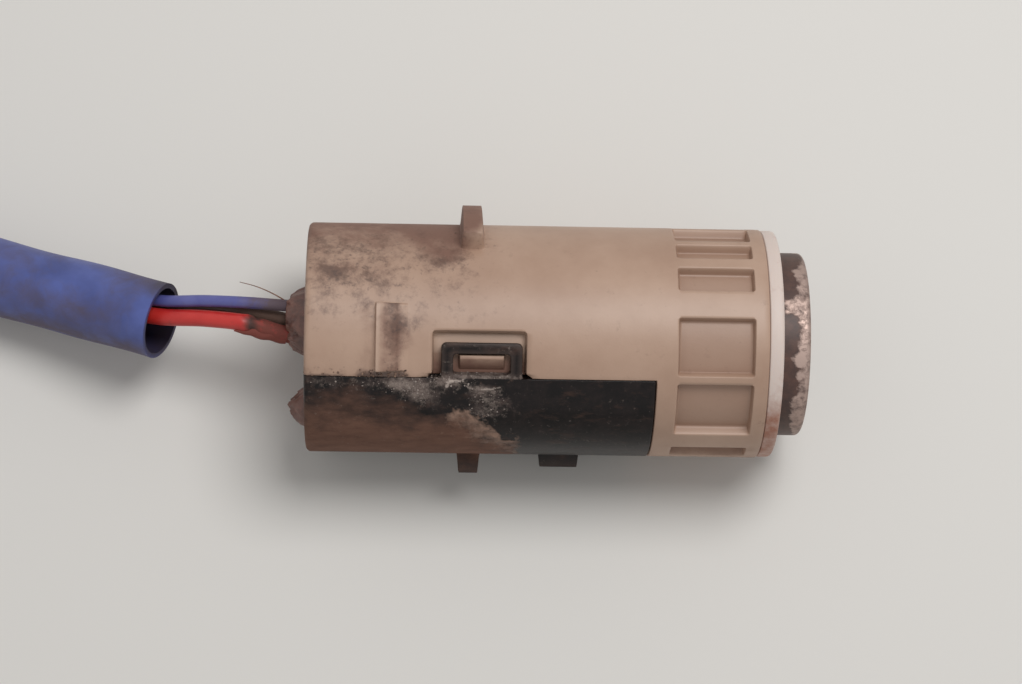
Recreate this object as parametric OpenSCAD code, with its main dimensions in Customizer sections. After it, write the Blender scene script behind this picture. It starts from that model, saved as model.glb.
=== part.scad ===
// Parking sensor: a round ultrasonic sensor with a three-wire pigtail and a sealed plug.
// The sensor is drawn along its own axis: z runs from the rear rim to the front, and x goes through the
// crown lug. It is then laid on its side, front towards +X, with the crown leaning back towards +Y.

/* [Body] */
// Outside diameter of the housing and of the rear cover
body_d = 23; // [21:0.5:27]
// Wall of the housing's trough and of the rear cover
wall = 2; // [1.7:0.1:2.6]
// Length of the housing along its axis
housing_len = 45.2; // [43.5:0.1:52]
// Length of the rear cover
cover_len = 34.2; // [33:0.1:36]
// Gap along the parting line between cover and housing
parting_gap = 0.08; // [0.04:0.02:0.2]
// Rounding of the rear rim
rim_round = 0.5; // [0.2:0.1:0.9]
// Thickness of the bulkhead between circuit board and transducer
bulkhead_t = 1.5; // [1:0.1:2]
// How far the cover's lap lips reach into the housing
lip_h = 0.8; // [0.5:0.1:1.2]
// Thickness of the lap lips
lip_t = 0.6; // [0.4:0.05:0.8]

/* [Collar pockets] */
// Depth of the moulded pockets round the collar
pocket_depth = 0.9; // [0.4:0.1:1.1]
// Plain band between the cover's end and the pockets
pocket_rear_land = 2.1; // [1.5:0.1:3]
// Plain band between the pockets and the front rim
pocket_front_land = 1.5; // [0.8:0.1:2]

/* [Lugs and nubs] */
// Start of the two lugs, from the rear rim
lug_z = 15.2; // [12:0.1:18]
// Length of a lug along the axis
lug_len = 2.1; // [1.2:0.1:3]
// Height of a lug over the body
lug_h = 1.95; // [1:0.05:2.5]
// Half the angle that a lug covers
lug_half = 20; // [10:1:20]
// Start of the key rib on the cover, from the rear rim
key_z = 23.5; // [20:0.1:26]
// Length of the key rib
key_len = 4; // [2:0.1:6]
// Height of the key rib over the body
key_h = 1.8; // [1:0.1:2.5]
// Width of the key rib
key_w = 2.4; // [1.5:0.1:4]
// Steep face of the retention wedges, from the rear rim
wedge_z = 6.9; // [4:0.1:8.5]
// Length of a wedge along the axis
wedge_len = 3.2; // [2:0.1:4]
// Height of a wedge over the body
wedge_h = 0.9; // [0.4:0.05:1]
// Flat at the top of a wedge
wedge_crest = 0.4; // [0.2:0.05:1]

/* [Latch] */
// Middle of the latch loops, from the rear rim
latch_z = 17.235; // [16:0.005:20]
// Width of a latch loop along the axis
latch_w = 7.87; // [7:0.01:10]
// Width of the loop's two side bars
latch_bar = 1.15; // [0.8:0.05:1.6]
// Angle from the parting line to the top of the loop
latch_reach = 17.6; // [15:0.1:20]
// Angle that the loop's top bar covers
latch_top_bar = 5.6; // [4:0.1:7]
// Thickness of the loop
latch_t = 1; // [0.7:0.05:1.2]
// Gap over the loop in its recess
latch_gap = 1.08; // [0.5:0.02:1.9]
// Gap behind the loop in its recess
latch_gap_rear = 0.82; // [0.2:0.02:1]
// Gap before the loop in its recess
latch_gap_front = 0.33; // [0.2:0.01:0.8]
// Gap at each end of the catch nub in the loop's window
nub_gap = 0.6; // [0.3:0.05:1]

/* [Transducer] */
// Wall of the collar round the silicone boot
collar_wall = 1.55; // [1.4:0.05:2.5]
// Wall of the silicone boot
boot_wall = 0.7; // [0.5:0.05:1.2]
// Clearance between the boot and what it seals on
boot_fit = 0.025; // [0.02:0.005:0.1]
// Thickness of the boot's front flange
flange_t = 1.4; // [1:0.1:2.5]
// Step from the body's outside in to the flange
flange_step = 0.1; // [0.05:0.05:0.5]
// Thickness of the boot's rear lip
boot_lip = 1.4; // [0.8:0.1:2]
// How far the can stands out of the flange
can_stand = 2.9; // [1.5:0.1:4]
// Side wall of the transducer can
can_wall = 1.3; // [1.1:0.1:2]
// Thickness of the can's sounding face
can_face = 0.9; // [0.5:0.1:1.5]
// Rounding of the can's front edge
can_round = 0.5; // [0.2:0.1:0.8]
// Depth of the groove that the boot's bead sits in
can_groove = 0.35; // [0.2:0.05:0.5]
// Diameter of the piezo disc
piezo_d = 10; // [6:0.5:13]
// Thickness of the piezo disc
piezo_t = 0.5; // [0.3:0.1:1]
// Thickness of the damping foam
foam_t = 4; // [2:0.1:5]
// Diameter of the two transducer leads
lead_d = 0.5; // [0.3:0.05:0.7]
// Distance between the two leads
lead_pitch = 2.54; // [2:0.02:3.5]

/* [Electronics] */
// Thickness of the circuit board
board_t = 1.2; // [0.8:0.1:1.6]
// Rear end of the board, from the rear rim
board_rear = 6.5; // [6:0.1:8]
// Gap between the board's front end and the bulkhead
board_front_gap = 1.2; // [0.6:0.1:2]
// Gap between the board's long edges and the wall
board_side_gap = 0.6; // [0.3:0.1:1]
// How far the board lies on each rail
rail_overlap = 2.2; // [2:0.1:2.6]
// Height of the rails
rail_h = 2.2; // [1.6:0.1:3]
// Diameter of the stakes that hold the board
stake_d = 1.2; // [0.8:0.1:1.3]
// Diameter of the transformer core's flanges
core_d = 7.6; // [6:0.1:8]
// Height of the transformer core
core_h = 5.6; // [4:0.1:6.5]
// Thickness of the core's flanges
core_flange = 1; // [0.6:0.1:1.4]
// Diameter of the core's post
core_post = 3.6; // [2.4:0.1:4.4]
// Diameter of the capacitor's can
cap_d = 6.3; // [4:0.1:6.6]
// Height of the capacitor
cap_h = 5.7; // [4:0.1:6.2]
// Length of the driver chip's body
chip_len = 8.6; // [6:0.1:9]
// Width of the driver chip's body
chip_w = 3.9; // [3:0.1:4.4]
// Thickness of the driver chip's body
chip_t = 1.5; // [1:0.1:2]

/* [Sealing resin] */
// Depth of the resin behind the rear rim
resin_sink = 0.5; // [0.2:0.1:1]
// Thickness of the resin
resin_t = 2.4; // [1.5:0.1:3]
// How far the mound round the wires stands out of the rear rim
mound_out = 2.2; // [1:0.1:3]
// Radius of the mound at its foot
mound_r = 3.8; // [3.2:0.1:4.5]
// Radius of the rounded bump
bump_r = 2.1; // [1:0.1:2.3]

/* [Cable] */
// Diameter of the blue signal wire over its insulation
signal_wire_d = 1.2; // [1.1:0.05:1.6]
// Diameter of the brown ground wire over its insulation
ground_wire_d = 1.5; // [1.2:0.05:1.6]
// Diameter of the red supply wire over its insulation
supply_wire_d = 1.7; // [1.2:0.05:1.75]
// Outside diameter of the sleeve
sleeve_d = 8; // [7.6:0.1:8]
// Wall of the sleeve
sleeve_wall = 0.5; // [0.3:0.05:0.7]

/* [Plug] */
// Length of the plug's main block
plug_len = 16; // [14:0.5:22]
// Width of the plug
plug_w = 15; // [14.5:0.5:18]
// Height of the plug's main block
plug_h = 9.6; // [9:0.1:12]
// Corner radius of the plug
plug_round = 1.2; // [0.5:0.1:2]
// Length of the plug's nose
nose_len = 8; // [6:0.5:12]
// Step from the main block in to the nose
nose_step = 1.4; // [1:0.1:1.5]
// Distance between the plug's ways
way_pitch = 4.2; // [4:0.1:4.4]
// Inside width of a terminal's cavity
way_w = 2.6; // [2.4:0.1:2.8]
// Diameter of the wire seals
seal_d = 3.8; // [3:0.1:3.9]
// Length of the wire seals
seal_len = 4.6; // [3:0.1:6]
// Thickness of the face seal
face_seal_t = 2; // [1:0.1:3]
// Length of the lock bar along the plug
lock_len = 2.2; // [1.5:0.1:3]

/* [Hidden] */
$fn = 96;
body_r = body_d / 2;
inner_r = body_r - wall;
half_gap = parting_gap / 2;
crown_lean = 56;
// A small clearance between solid pieces that seat on each other
seat = 0.03;
// How far a boss is sunk into the wall that it grows out of
root = 0.3;
// How far a cutter runs past the solid that it cuts
over = 1;

bulk_z0 = cover_len + parting_gap;
bulk_z1 = bulk_z0 + bulkhead_t;
bore_r = body_r - collar_wall;
boot_r = bore_r - boot_fit;
can_r = boot_r - boot_wall - boot_fit;
boot_z0 = bulk_z1 + seat;
flange_z0 = housing_len + seat;
flange_z1 = flange_z0 + flange_t;
can_z0 = boot_z0 + boot_lip + seat;
can_z1 = flange_z1 + can_stand;
can_in_r = can_r - can_wall;
boot_lip_reach = 0.4;
lip_in_r = can_in_r - boot_lip_reach;
bead_from_rear = 2.6;
bead_z = can_z0 + bead_from_rear;
bead_len = 1.2;
bead_slope = 0.2;
flange_round = 0.35;
front_chamfer = 0.2;
piezo_z1 = can_z1 - can_face - seat;
piezo_z0 = piezo_z1 - piezo_t;
foam_z1 = piezo_z0 - seat;
foam_z0 = foam_z1 - foam_t;
x_mid = (can_z1 - mound_out) / 2;

// Pockets of one quarter of the collar, as angles from the crown; mirrored to the other quarters
crown_pockets = [[-9, 9], [171, 189]];
side_pockets = [[14, 24], [31.5, 44], [59, 87], [92, 122], [135.5, 148], [156, 166]];
pocket_z0 = bulk_z0 + pocket_rear_land;
pocket_z1 = housing_len - pocket_front_land;
wedge_span = [54, 86.5];

// Latch loop, its window, its recess and its catch nub, as radii, angles and lengths
loop_sink = 0.05;
loop_r1 = body_r - loop_sink;
loop_r0 = loop_r1 - latch_t;
recess_r = loop_r0 - loop_sink;
loop_z0 = latch_z - latch_w / 2;
loop_top = 90 - latch_reach;
loop_foot = 95;
window_top = loop_top + latch_top_bar;
window_foot = 88.5;
window_z0 = loop_z0 + latch_bar;
window_len = latch_w - 2 * latch_bar;
// The recess leaves more room above the loop than beside it
recess_top = loop_top - latch_gap * 180 / (PI * body_r);
nub_clear = 0.6;
nub_top = window_top + nub_clear;
nub_crest_turn = 1.8;
nub_crest = nub_top + nub_crest_turn;
nub_foot = 87;
nub_sink = 0.15;
nub_r = body_r - nub_sink;

// Lap lips on both sides of the latch
lip_spans = [[4, 11.4], [23.4, 31.6]];
lip_r0 = inner_r + loop_sink;
lip_r1 = lip_r0 + lip_t;
lip_turn = asin(lip_h / lip_r1);
lip_turn_gap = 0.4;
lip_foot = 93;
rebate_foot = 91;

// The board lies on the rails, with its crown face just under the parting plane
board_x1 = -seat;
board_x0 = board_x1 - board_t;
board_half = sqrt(inner_r * inner_r - board_x0 * board_x0) - board_side_gap;
board_z1 = bulk_z0 - board_front_gap;
rail_y = board_half - rail_overlap;
stake_from_middle = 0.2;
stake_y = board_half - rail_overlap / 2 - stake_from_middle;
stake_from_end = 3;
stake_zs = [board_rear + stake_from_end, board_z1 - stake_from_end];
stake_out = 0.4;
rib_clear = 0.1;
rib_y = stake_y + stake_d / 2 + rib_clear;
rib_h = 3;
core_z = 26.5;
cap_z = 13;
chip_z0 = 13.2;
chip_leads = 7;
chip_pitch = 1.27;
lead_x = board_x1 + seat + lead_d / 2;
lead_dome_from_end = 1.2;
lead_dome_z = board_z1 - lead_dome_from_end;
lead_dome_r = 0.5;
pad_z = 10.8;
chip_row_z = 19.5;
chip_row_pitch = 2.4;
chips_in_row = 5;
capacitor_size = [0.8, 1.6, 0.8];
capacitor_rows = [-4.5, 1.2];
resistor_size = [0.8, 1.6, 0.45];
resistor_rows = [-1.7, 4.5];
wire_dome_r = 0.9;

resin_z1 = resin_sink + resin_t;
mound_at = [1.5, -0.55];
bump_at = [-6.2, 3.2];
bore_fit = 0.05;

// From a point in the sensor's own frame to where it lies
function laid(p) = [
    p.z - x_mid,
    p.x * sin(crown_lean) - p.y * cos(crown_lean),
    body_r + p.x * cos(crown_lean) + p.y * sin(crown_lean)
];

// Wire routes, in the order signal, ground, supply: from the board through the resin, along the sleeve
// and into the plug. The first points are in the sensor's frame, the others where the cable lies.
wire_d = [signal_wire_d, ground_wire_d, supply_wire_d];
wire_exit = [[3.05, -0.65], [1.3, -1.3], [0.35, 0.3]];
board_route = [
    [[0.86, -4, pad_z], [0.86, -4, 9.6], [1.9, -3, 7.2], [2.9, -1.5, 4.8]],
    [[0.86, -1, pad_z], [0.86, -1, 9.6], [0.9, -1, 7.2], [1.15, -1.1, 4.8]],
    [[0.86, 2, pad_z], [0.86, 2, 9.6], [0.9, 1.6, 7.2], [0.7, 0.9, 4.8]]
];
gap_route = [
    [[-29, 3.1, 12.6], [-34, 3.45, 11.9]],
    [[-29, 2.5, 11], [-34, 3.2, 10.1]],
    [[-29, 1, 12], [-34, 1.8, 11.2]]
];
sleeve_route = [
    [-38.6, 1.9, 9.5], [-47, 4.7, 7.2], [-56, 7.5, 5.4], [-66, 10.7, 4.4], [-78, 14.7, 4],
    [-92, 19.2, 4], [-106, 22.9, 4], [-120, 25.3, 4], [-131, 26, 4]
];
// Where each wire lies in the sleeve's mouth near the sensor, and in its far mouth
near_offset = [[0, 1.85, 1.05], [0, 1.6, -0.7], [0, 0.3, 0.6]];
far_offset = [[0, 1.9, -0.3], [0, 0, -1.5], [0, -1.9, -0.3]];
sleeve_end = len(sleeve_route) - 1;
plug_at = [-142, 26];
way_z = plug_h / 2;
way_of_wire = [1, 0, -1];
nose_w = plug_w - 2 * nose_step;
nose_h = plug_h - 2 * nose_step;
lock_x = 10;
lock_z0 = way_z + way_w / 2 + 0.3;
lock_h = 1.8;
// The plug's latch arm and the two guard walls beside it
arm_x = 2;
arm_w = 5;
arm_t = 1.2;
arm_rise = 1.2;
arm_root = 4;
arm_thumb = [1.2, 0.6];
guard_y = 4.6;
guard_t = 1.2;
wire_end_x = 6.5;
wire_sides = 8;
sleeve_sides = 12;

function in_sleeve(w, i) =
    sleeve_route[i] + near_offset[w] * (1 - i / sleeve_end) + far_offset[w] * i / sleeve_end;
function in_plug(w, x) = [plug_at.x - x, plug_at.y + way_of_wire[w] * way_pitch, way_z];
function wire_route(w) = concat(
    [for (p = board_route[w]) laid(p)],
    [laid([each wire_exit[w], resin_z1 + 0.2]), laid([each wire_exit[w], -mound_out - 0.2])],
    gap_route[w],
    [for (i = [0 : sleeve_end]) in_sleeve(w, i)],
    [(in_sleeve(w, sleeve_end) + in_plug(w, 0)) / 2, in_plug(w, -1), in_plug(w, wire_end_x)]
);

// Rings of points round a route, and the triangles between two rings
function unit(v) = v / norm(v);
function heading(p, i) = unit(p[min(i + 1, len(p) - 1)] - p[max(i - 1, 0)]);
function ring(p, i, r, n) =
    let (t = heading(p, i), s = unit(cross([0, 0, 1], t)), u = cross(t, s))
    [for (k = [0 : n - 1]) p[i] + r * (cos(360 * (k + 0.5) / n) * s + sin(360 * (k + 0.5) / n) * u)];
function band(a, b, n) = [
    for (k = [0 : n - 1]) let (m = (k + 1) % n) each [[a + k, b + k, b + m], [a + k, b + m, a + m]]
];

// Lays the sensor down on its side
module lay() {
    translate([-x_mid, 0, body_r]) rotate([180 - crown_lean, 0, 0]) rotate([0, 90, 0]) children();
}

// A block of a ring: radii, angles from the crown, and lengths along the axis
module sector(r0, r1, a0, a1, z0, z1) {
    rotate([0, 0, a0]) rotate_extrude(angle = a1 - a0) translate([r0, z0]) square([r1 - r0, z1 - z0]);
}

// Draws its children on both sides of the crown
module both_sides() {
    children();
    mirror([0, 1, 0]) children();
}

// A turned piece whose axis stands on the board, rising towards the crown
module on_board(y, z) {
    translate([board_x1 + seat, y, z]) rotate([0, 90, 0]) children();
}

// A turned piece whose axis hangs from the board, towards the cover
module under_board(y, z) {
    translate([board_x0 - seat, y, z]) rotate([0, -90, 0]) children();
}

// The two halves of the body share this rounded rear rim
function rim_points() = [
    for (a = [-90 : 30 : 0]) [body_r - rim_round + rim_round * cos(a), rim_round + rim_round * sin(a)]
];

module housing_turned() {
    rotate_extrude() polygon(concat(
        [[inner_r, 0]],
        rim_points(),
        [
            [body_r, housing_len - front_chamfer], [body_r - front_chamfer, housing_len],
            [bore_r, housing_len], [bore_r, bulk_z1],
            [0, bulk_z1], [0, bulk_z0], [inner_r, bulk_z0]
        ]
    ));
}

// The half of space that the cover takes, up to the collar
module cover_half(edge, z1) {
    translate([-2 * body_r, -2 * body_r, -over]) cube([2 * body_r + edge, 4 * body_r, z1 + over]);
}

module collar_pockets() {
    floor_r = body_r - pocket_depth;
    for (span = crown_pockets) sector(floor_r, body_r + over, span[0], span[1], pocket_z0, pocket_z1);
    both_sides()
        for (span = side_pockets) sector(floor_r, body_r + over, span[0], span[1], pocket_z0, pocket_z1);
}

// A wedge that the bumper's holder snaps behind: steep to the rear, sloping to the front
module wedge() {
    rotate([0, 0, wedge_span[0]]) rotate_extrude(angle = wedge_span[1] - wedge_span[0]) polygon([
        [body_r - root, wedge_z], [body_r + wedge_h, wedge_z], [body_r + wedge_h, wedge_z + wedge_crest],
        [body_r, wedge_z + wedge_len], [body_r - root, wedge_z + wedge_len]
    ]);
}

module lug(middle) {
    sector(body_r - root, body_r + lug_h, middle - lug_half, middle + lug_half, lug_z, lug_z + lug_len);
}

module latch_recess() {
    sector(
        recess_r, body_r + over, recess_top, loop_foot,
        loop_z0 - latch_gap_rear, loop_z0 + latch_w + latch_gap_front
    );
}

// The catch nub: steep towards the crown, where the loop's top bar hooks on it
module catch_nub() {
    function polar(r, a) = [r * cos(a), r * sin(a)];
    translate([0, 0, window_z0 + nub_gap]) linear_extrude(window_len - 2 * nub_gap) polygon([
        polar(recess_r - root, nub_top), polar(nub_r, nub_top), polar(nub_r, nub_crest),
        polar(recess_r, nub_foot), polar(recess_r - root, nub_foot)
    ]);
}

// The rails under the board's crown face, cut to the round of the trough
module board_rails() {
    intersection() {
        translate([0, 0, board_rear]) cylinder(h = bulk_z0 + root - board_rear, r = inner_r + root);
        both_sides() translate([0, rail_y, 0]) cube([rail_h, inner_r, housing_len]);
    }
    both_sides() for (z = stake_zs)
        translate([board_x0 - stake_out, stake_y, z]) rotate([0, 90, 0])
            cylinder(h = rail_h / 2 - board_x0 + stake_out, d = stake_d);
}

module lip_rebates() {
    both_sides() for (span = lip_spans)
        sector(
            inner_r - root, lip_r1 + seat, 90 - lip_turn - lip_turn_gap, rebate_foot, span[0] - seat,
            span[1] + seat
        );
}

module lead_slot() {
    translate([lead_x - lead_d, -lead_pitch, bulk_z0 - over])
        cube([2 * lead_d, 2 * lead_pitch, bulkhead_t + 2 * over]);
}

// Tan moulded housing: a trough behind, a closed collar in front and the bulkhead between them
module housing() {
    color("tan") lay() {
        difference() {
            union() {
                difference() {
                    housing_turned();
                    cover_half(half_gap, bulk_z0);
                    collar_pockets();
                    both_sides() latch_recess();
                }
                board_rails();
            }
            lip_rebates();
            lead_slot();
        }
        lug(0);
        both_sides() wedge();
        both_sides() catch_nub();
    }
}

// The ribs that hold the board down on the rails
module hold_down_ribs() {
    rib_top = board_x0 - seat;
    intersection() {
        translate([0, 0, board_rear]) cylinder(h = board_z1 - board_rear, r = inner_r + root);
        both_sides() translate([rib_top - rib_h, rib_y, 0]) cube([rib_h, inner_r, housing_len]);
    }
}

module latch_loop() {
    difference() {
        sector(loop_r0, loop_r1, loop_top, loop_foot, loop_z0, loop_z0 + latch_w);
        sector(
            loop_r0 - over, loop_r1 + over, window_top, window_foot, window_z0, window_z0 + window_len
        );
    }
}

// Black clipped cover: the other half of the tube, with a latch loop on each side
module rear_cover() {
    color([0.12, 0.11, 0.11]) lay() {
        difference() {
            rotate_extrude() polygon(concat(
                [[inner_r, 0]], rim_points(), [[body_r, cover_len], [inner_r, cover_len]]
            ));
            translate([-half_gap, -2 * body_r, -over]) cube([2 * body_r, 4 * body_r, cover_len + 2 * over]);
        }
        both_sides() latch_loop();
        both_sides() for (span = lip_spans)
            sector(lip_r0, lip_r1, 90 - lip_turn, lip_foot, span[0], span[1]);
        hold_down_ribs();
        lug(180);
        translate([-body_r - key_h, -key_w / 2, key_z]) cube([key_h + root, key_w, key_len]);
    }
}

// Off-white silicone boot: its bead grips the can's groove and its flange shows in front of the collar
module decoupling_ring() {
    flange_r = body_r - flange_step;
    in_r = can_r + boot_fit;
    bead = can_groove - boot_fit;
    color("linen") lay() rotate_extrude() polygon([
        [lip_in_r, boot_z0], [boot_r, boot_z0], [boot_r, flange_z0], [flange_r, flange_z0],
        [flange_r, flange_z1 - flange_round],
        [flange_r - 0.3 * flange_round, flange_z1 - 0.3 * flange_round],
        [flange_r - flange_round, flange_z1], [in_r + bead_slope, flange_z1],
        [in_r, flange_z1 - bead_slope], [in_r, bead_z + bead_len - boot_fit],
        [in_r - bead, bead_z + bead_len - boot_fit - bead_slope],
        [in_r - bead, bead_z + boot_fit + bead_slope], [in_r, bead_z + boot_fit],
        [in_r, can_z0 - seat], [lip_in_r, can_z0 - seat]
    ]);
}

// Aluminium can, deep drawn: the closed front is the sounding face
module transducer_can() {
    round_at = [can_r - can_round, can_z1 - can_round];
    edge = [for (a = [0 : 30 : 90]) round_at + can_round * [cos(a), sin(a)]];
    color([0.36, 0.26, 0.22]) lay() rotate_extrude() polygon(concat(
        [
            [can_in_r, can_z0], [can_r, can_z0], [can_r, bead_z],
            [can_r - can_groove, bead_z + bead_slope],
            [can_r - can_groove, bead_z + bead_len - bead_slope], [can_r, bead_z + bead_len]
        ],
        edge,
        [[0, can_z1], [0, can_z1 - can_face], [can_in_r, can_z1 - can_face]]
    ));
}

module piezo_disc() {
    color("khaki") lay() translate([0, 0, piezo_z0]) cylinder(h = piezo_t, d = piezo_d);
}

// The two holes that the leads pass through
module lead_holes(z0, z1) {
    both_sides() translate([lead_x, lead_pitch / 2, z0 - over])
        cylinder(h = z1 - z0 + 2 * over, d = lead_d + 2 * bore_fit);
}

module damping_foam() {
    color("dimgray") lay() difference() {
        translate([0, 0, foam_z0]) cylinder(h = foam_t, r = can_in_r - seat);
        lead_holes(foam_z0, foam_z1);
    }
}

// Silicone poured into the can behind the foam
module can_backing() {
    color("gainsboro") lay() difference() {
        translate([0, 0, can_z0]) cylinder(h = foam_z0 - seat - can_z0, r = can_in_r - seat);
        lead_holes(can_z0, foam_z0);
    }
}

module transducer_leads() {
    lead_z0 = lead_dome_z + lead_dome_r + seat;
    color("silver") lay() both_sides() translate([lead_x, lead_pitch / 2, lead_z0])
        cylinder(h = piezo_z0 - seat - lead_z0, d = lead_d);
}

module circuit_board() {
    color("darkgreen") lay() difference() {
        translate([board_x0, -board_half, board_rear]) cube([board_t, 2 * board_half, board_z1 - board_rear]);
        both_sides() for (z = stake_zs)
            translate([board_x0 - over, stake_y, z]) rotate([0, 90, 0])
                cylinder(h = board_t + 2 * over, d = stake_d + 2 * bore_fit);
    }
}

// Ferrite drum core
module transformer_core() {
    color("dimgray") lay() on_board(0, core_z) rotate_extrude() polygon([
        [0, 0], [core_d / 2, 0], [core_d / 2, core_flange], [core_post / 2, core_flange],
        [core_post / 2, core_h - core_flange], [core_d / 2, core_h - core_flange], [core_d / 2, core_h],
        [0, core_h]
    ]);
}

module transformer_winding() {
    turns_h = core_h - 2 * core_flange - 2 * seat;
    turns_sink = 0.4;
    color("peru") lay() on_board(0, core_z) translate([0, 0, core_flange + seat]) difference() {
        cylinder(h = turns_h, d = core_d - 2 * turns_sink);
        translate([0, 0, -over]) cylinder(h = turns_h + 2 * over, d = core_post + 2 * seat);
    }
}

// Driver chip: a moulded body with a row of bent leads on each long side
module driver_chip() {
    stand_off = 0.1;
    rise = chip_t / 2 + stand_off;
    pin_t = 0.2;
    pin_w = 0.4;
    shoulder = [0.15, 0.35];
    ankle = [0.4, 0.6];
    toe = 0.9;
    row_z = chip_z0 + chip_len / 2 - (chip_leads - 1) * chip_pitch / 2;
    color([0.16, 0.16, 0.17]) lay() translate([board_x1 + seat, 0, 0]) {
        translate([stand_off, -chip_w / 2, chip_z0]) cube([chip_t, chip_w, chip_len]);
        both_sides() for (i = [0 : chip_leads - 1])
            translate([0, chip_w / 2, row_z + i * chip_pitch - pin_w / 2]) linear_extrude(pin_w) polygon([
                [rise, -root], [rise + pin_t, -root], [rise + pin_t, shoulder[1]], [pin_t, ankle[1]],
                [pin_t, toe], [0, toe], [0, ankle[0]], [rise, shoulder[0]]
            ]);
    }
}

// Aluminium electrolytic capacitor on its moulded base
module electrolytic_capacitor() {
    base_h = 1;
    base_w = cap_d + 0.3;
    neck_r = cap_d / 2 - 0.5;
    top_round = 0.3;
    color("silver") lay() under_board(0, cap_z) {
        translate([-base_w / 2, -base_w / 2, 0]) cube([base_w, base_w, base_h]);
        rotate_extrude() polygon([
            [0, base_h - root], [neck_r, base_h - root], [neck_r, base_h + 0.5],
            [cap_d / 2, base_h + 0.9], [cap_d / 2, cap_h - top_round],
            [cap_d / 2 - top_round, cap_h], [0, cap_h]
        ]);
    }
}

// A row of chips under the board, each a small block
module chip_row(y, size) {
    for (i = [0 : chips_in_row - 1]) under_board(y, chip_row_z + i * chip_row_pitch)
        translate([-size.x / 2, -size.y / 2, 0]) cube(size);
}

module chip_capacitors() {
    color("burlywood") lay() for (y = capacitor_rows) chip_row(y, capacitor_size);
}

module chip_resistors() {
    color([0.2, 0.2, 0.2]) lay() for (y = resistor_rows) chip_row(y, resistor_size);
}

// A dome of solder on the board's crown face
module dome(r, y, z) {
    on_board(y, z) difference() {
        sphere(r = r);
        translate([-2 * r, -2 * r, -2 * r]) cube([4 * r, 4 * r, 2 * r]);
    }
}

module solder_joints() {
    color("lightgray") lay() {
        for (route = board_route) dome(wire_dome_r, route[0].y, route[0].z + wire_dome_r + seat);
        both_sides() dome(lead_dome_r, lead_pitch / 2, lead_dome_z);
    }
}

// Resin that closes the rear, with a mound round the wires and a rounded bump beside it
module sealing_resin() {
    plate_r = inner_r - seat;
    mound_top = root + resin_sink + mound_out;
    color([0.43, 0.31, 0.27]) lay() difference() {
        union() {
            translate([0, 0, resin_sink]) cylinder(h = resin_t, r = plate_r);
            translate([mound_at.x, mound_at.y, resin_sink + root]) rotate([180, 0, 0])
                rotate_extrude() polygon([
                    [0, 0], [mound_r, 0], [mound_r, root], [mound_r - 0.25, root + 0.3 * mound_out],
                    [mound_r - 0.75, root + 0.7 * mound_out], [mound_r - 1.4, root + mound_out],
                    [mound_r - 1.9, mound_top - 0.1], [mound_r - 2.4, mound_top], [0, mound_top]
                ]);
            translate([bump_at.x, bump_at.y, resin_sink]) sphere(r = bump_r);
        }
        translate([-2 * body_r, -2 * body_r, resin_z1]) cube([4 * body_r, 4 * body_r, body_r]);
        for (w = [0 : 2]) translate([wire_exit[w].x, wire_exit[w].y, -body_r])
            cylinder(h = 2 * body_r, d = wire_d[w] + 2 * bore_fit);
    }
}

// A round solid swept along a route
module swept_rod(p, r, n) {
    last = len(p) - 1;
    polyhedron(
        points = [for (i = [0 : last]) each ring(p, i, r, n)],
        faces = concat(
            [[for (k = [0 : n - 1]) k]],
            [for (i = [0 : last - 1]) each band(i * n, (i + 1) * n, n)],
            [[for (k = [n - 1 : -1 : 0]) last * n + k]]
        )
    );
}

// An open tube swept along a route
module swept_tube(p, r, t, n) {
    last = len(p) - 1;
    inner = (last + 1) * n;
    polyhedron(
        points = concat(
            [for (i = [0 : last]) each ring(p, i, r, n)],
            [for (i = [0 : last]) each ring(p, i, r - t, n)]
        ),
        faces = concat(
            [for (i = [0 : last - 1]) each band(i * n, (i + 1) * n, n)],
            [for (i = [0 : last - 1]) each band(inner + (i + 1) * n, inner + i * n, n)],
            band(inner, 0, n),
            band(last * n, inner + last * n, n)
        )
    );
}

module signal_wire() {
    color("royalblue") swept_rod(wire_route(0), wire_d[0] / 2, wire_sides);
}

module ground_wire() {
    color("saddlebrown") swept_rod(wire_route(1), wire_d[1] / 2, wire_sides);
}

module supply_wire() {
    color("firebrick") swept_rod(wire_route(2), wire_d[2] / 2, wire_sides);
}

module cable_sleeve() {
    color("slateblue") swept_tube(sleeve_route, sleeve_d / 2, sleeve_wall, sleeve_sides);
}

// Puts a piece in the plug's own frame: x runs away from the sensor, z up from the floor
module in_plug_frame() {
    translate([plug_at.x, plug_at.y, 0]) rotate([0, 0, 180]) children();
}

// A bar along x with rounded edges, centred on the ways
module rounded_bar(x0, length, w, h, r) {
    translate([x0, 0, way_z]) rotate([90, 0, 90]) linear_extrude(length) {
        square([w - 2 * r, h], center = true);
        square([w, h - 2 * r], center = true);
        for (sy = [-1, 1], sz = [-1, 1]) translate([sy * (w / 2 - r), sz * (h / 2 - r)]) circle(r = r);
    }
}

module at_way(w) {
    translate([0, (w - 1) * way_pitch, way_z]) children();
}

module at_each_way() {
    for (w = [0 : 2]) at_way(w) children();
}

// The plug's latch arm: a sprung tongue over the main block, rooted at the front
module plug_latch_arm() {
    arm_z = plug_h + arm_rise;
    translate([arm_x, -arm_w / 2, arm_z]) cube([plug_len - arm_x, arm_w, arm_t]);
    translate([plug_len - arm_root, -arm_w / 2, plug_h - root])
        cube([arm_root, arm_w, arm_rise + 2 * root]);
    translate([arm_x, -arm_w / 2, arm_z + arm_t - root]) cube([arm_thumb[0], arm_w, arm_thumb[1] + root]);
    for (side = [-1, 1]) translate([arm_x, side * guard_y - guard_t / 2, plug_h - root])
        cube([plug_len - arm_x, guard_t, arm_rise + arm_t + root]);
}

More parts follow.
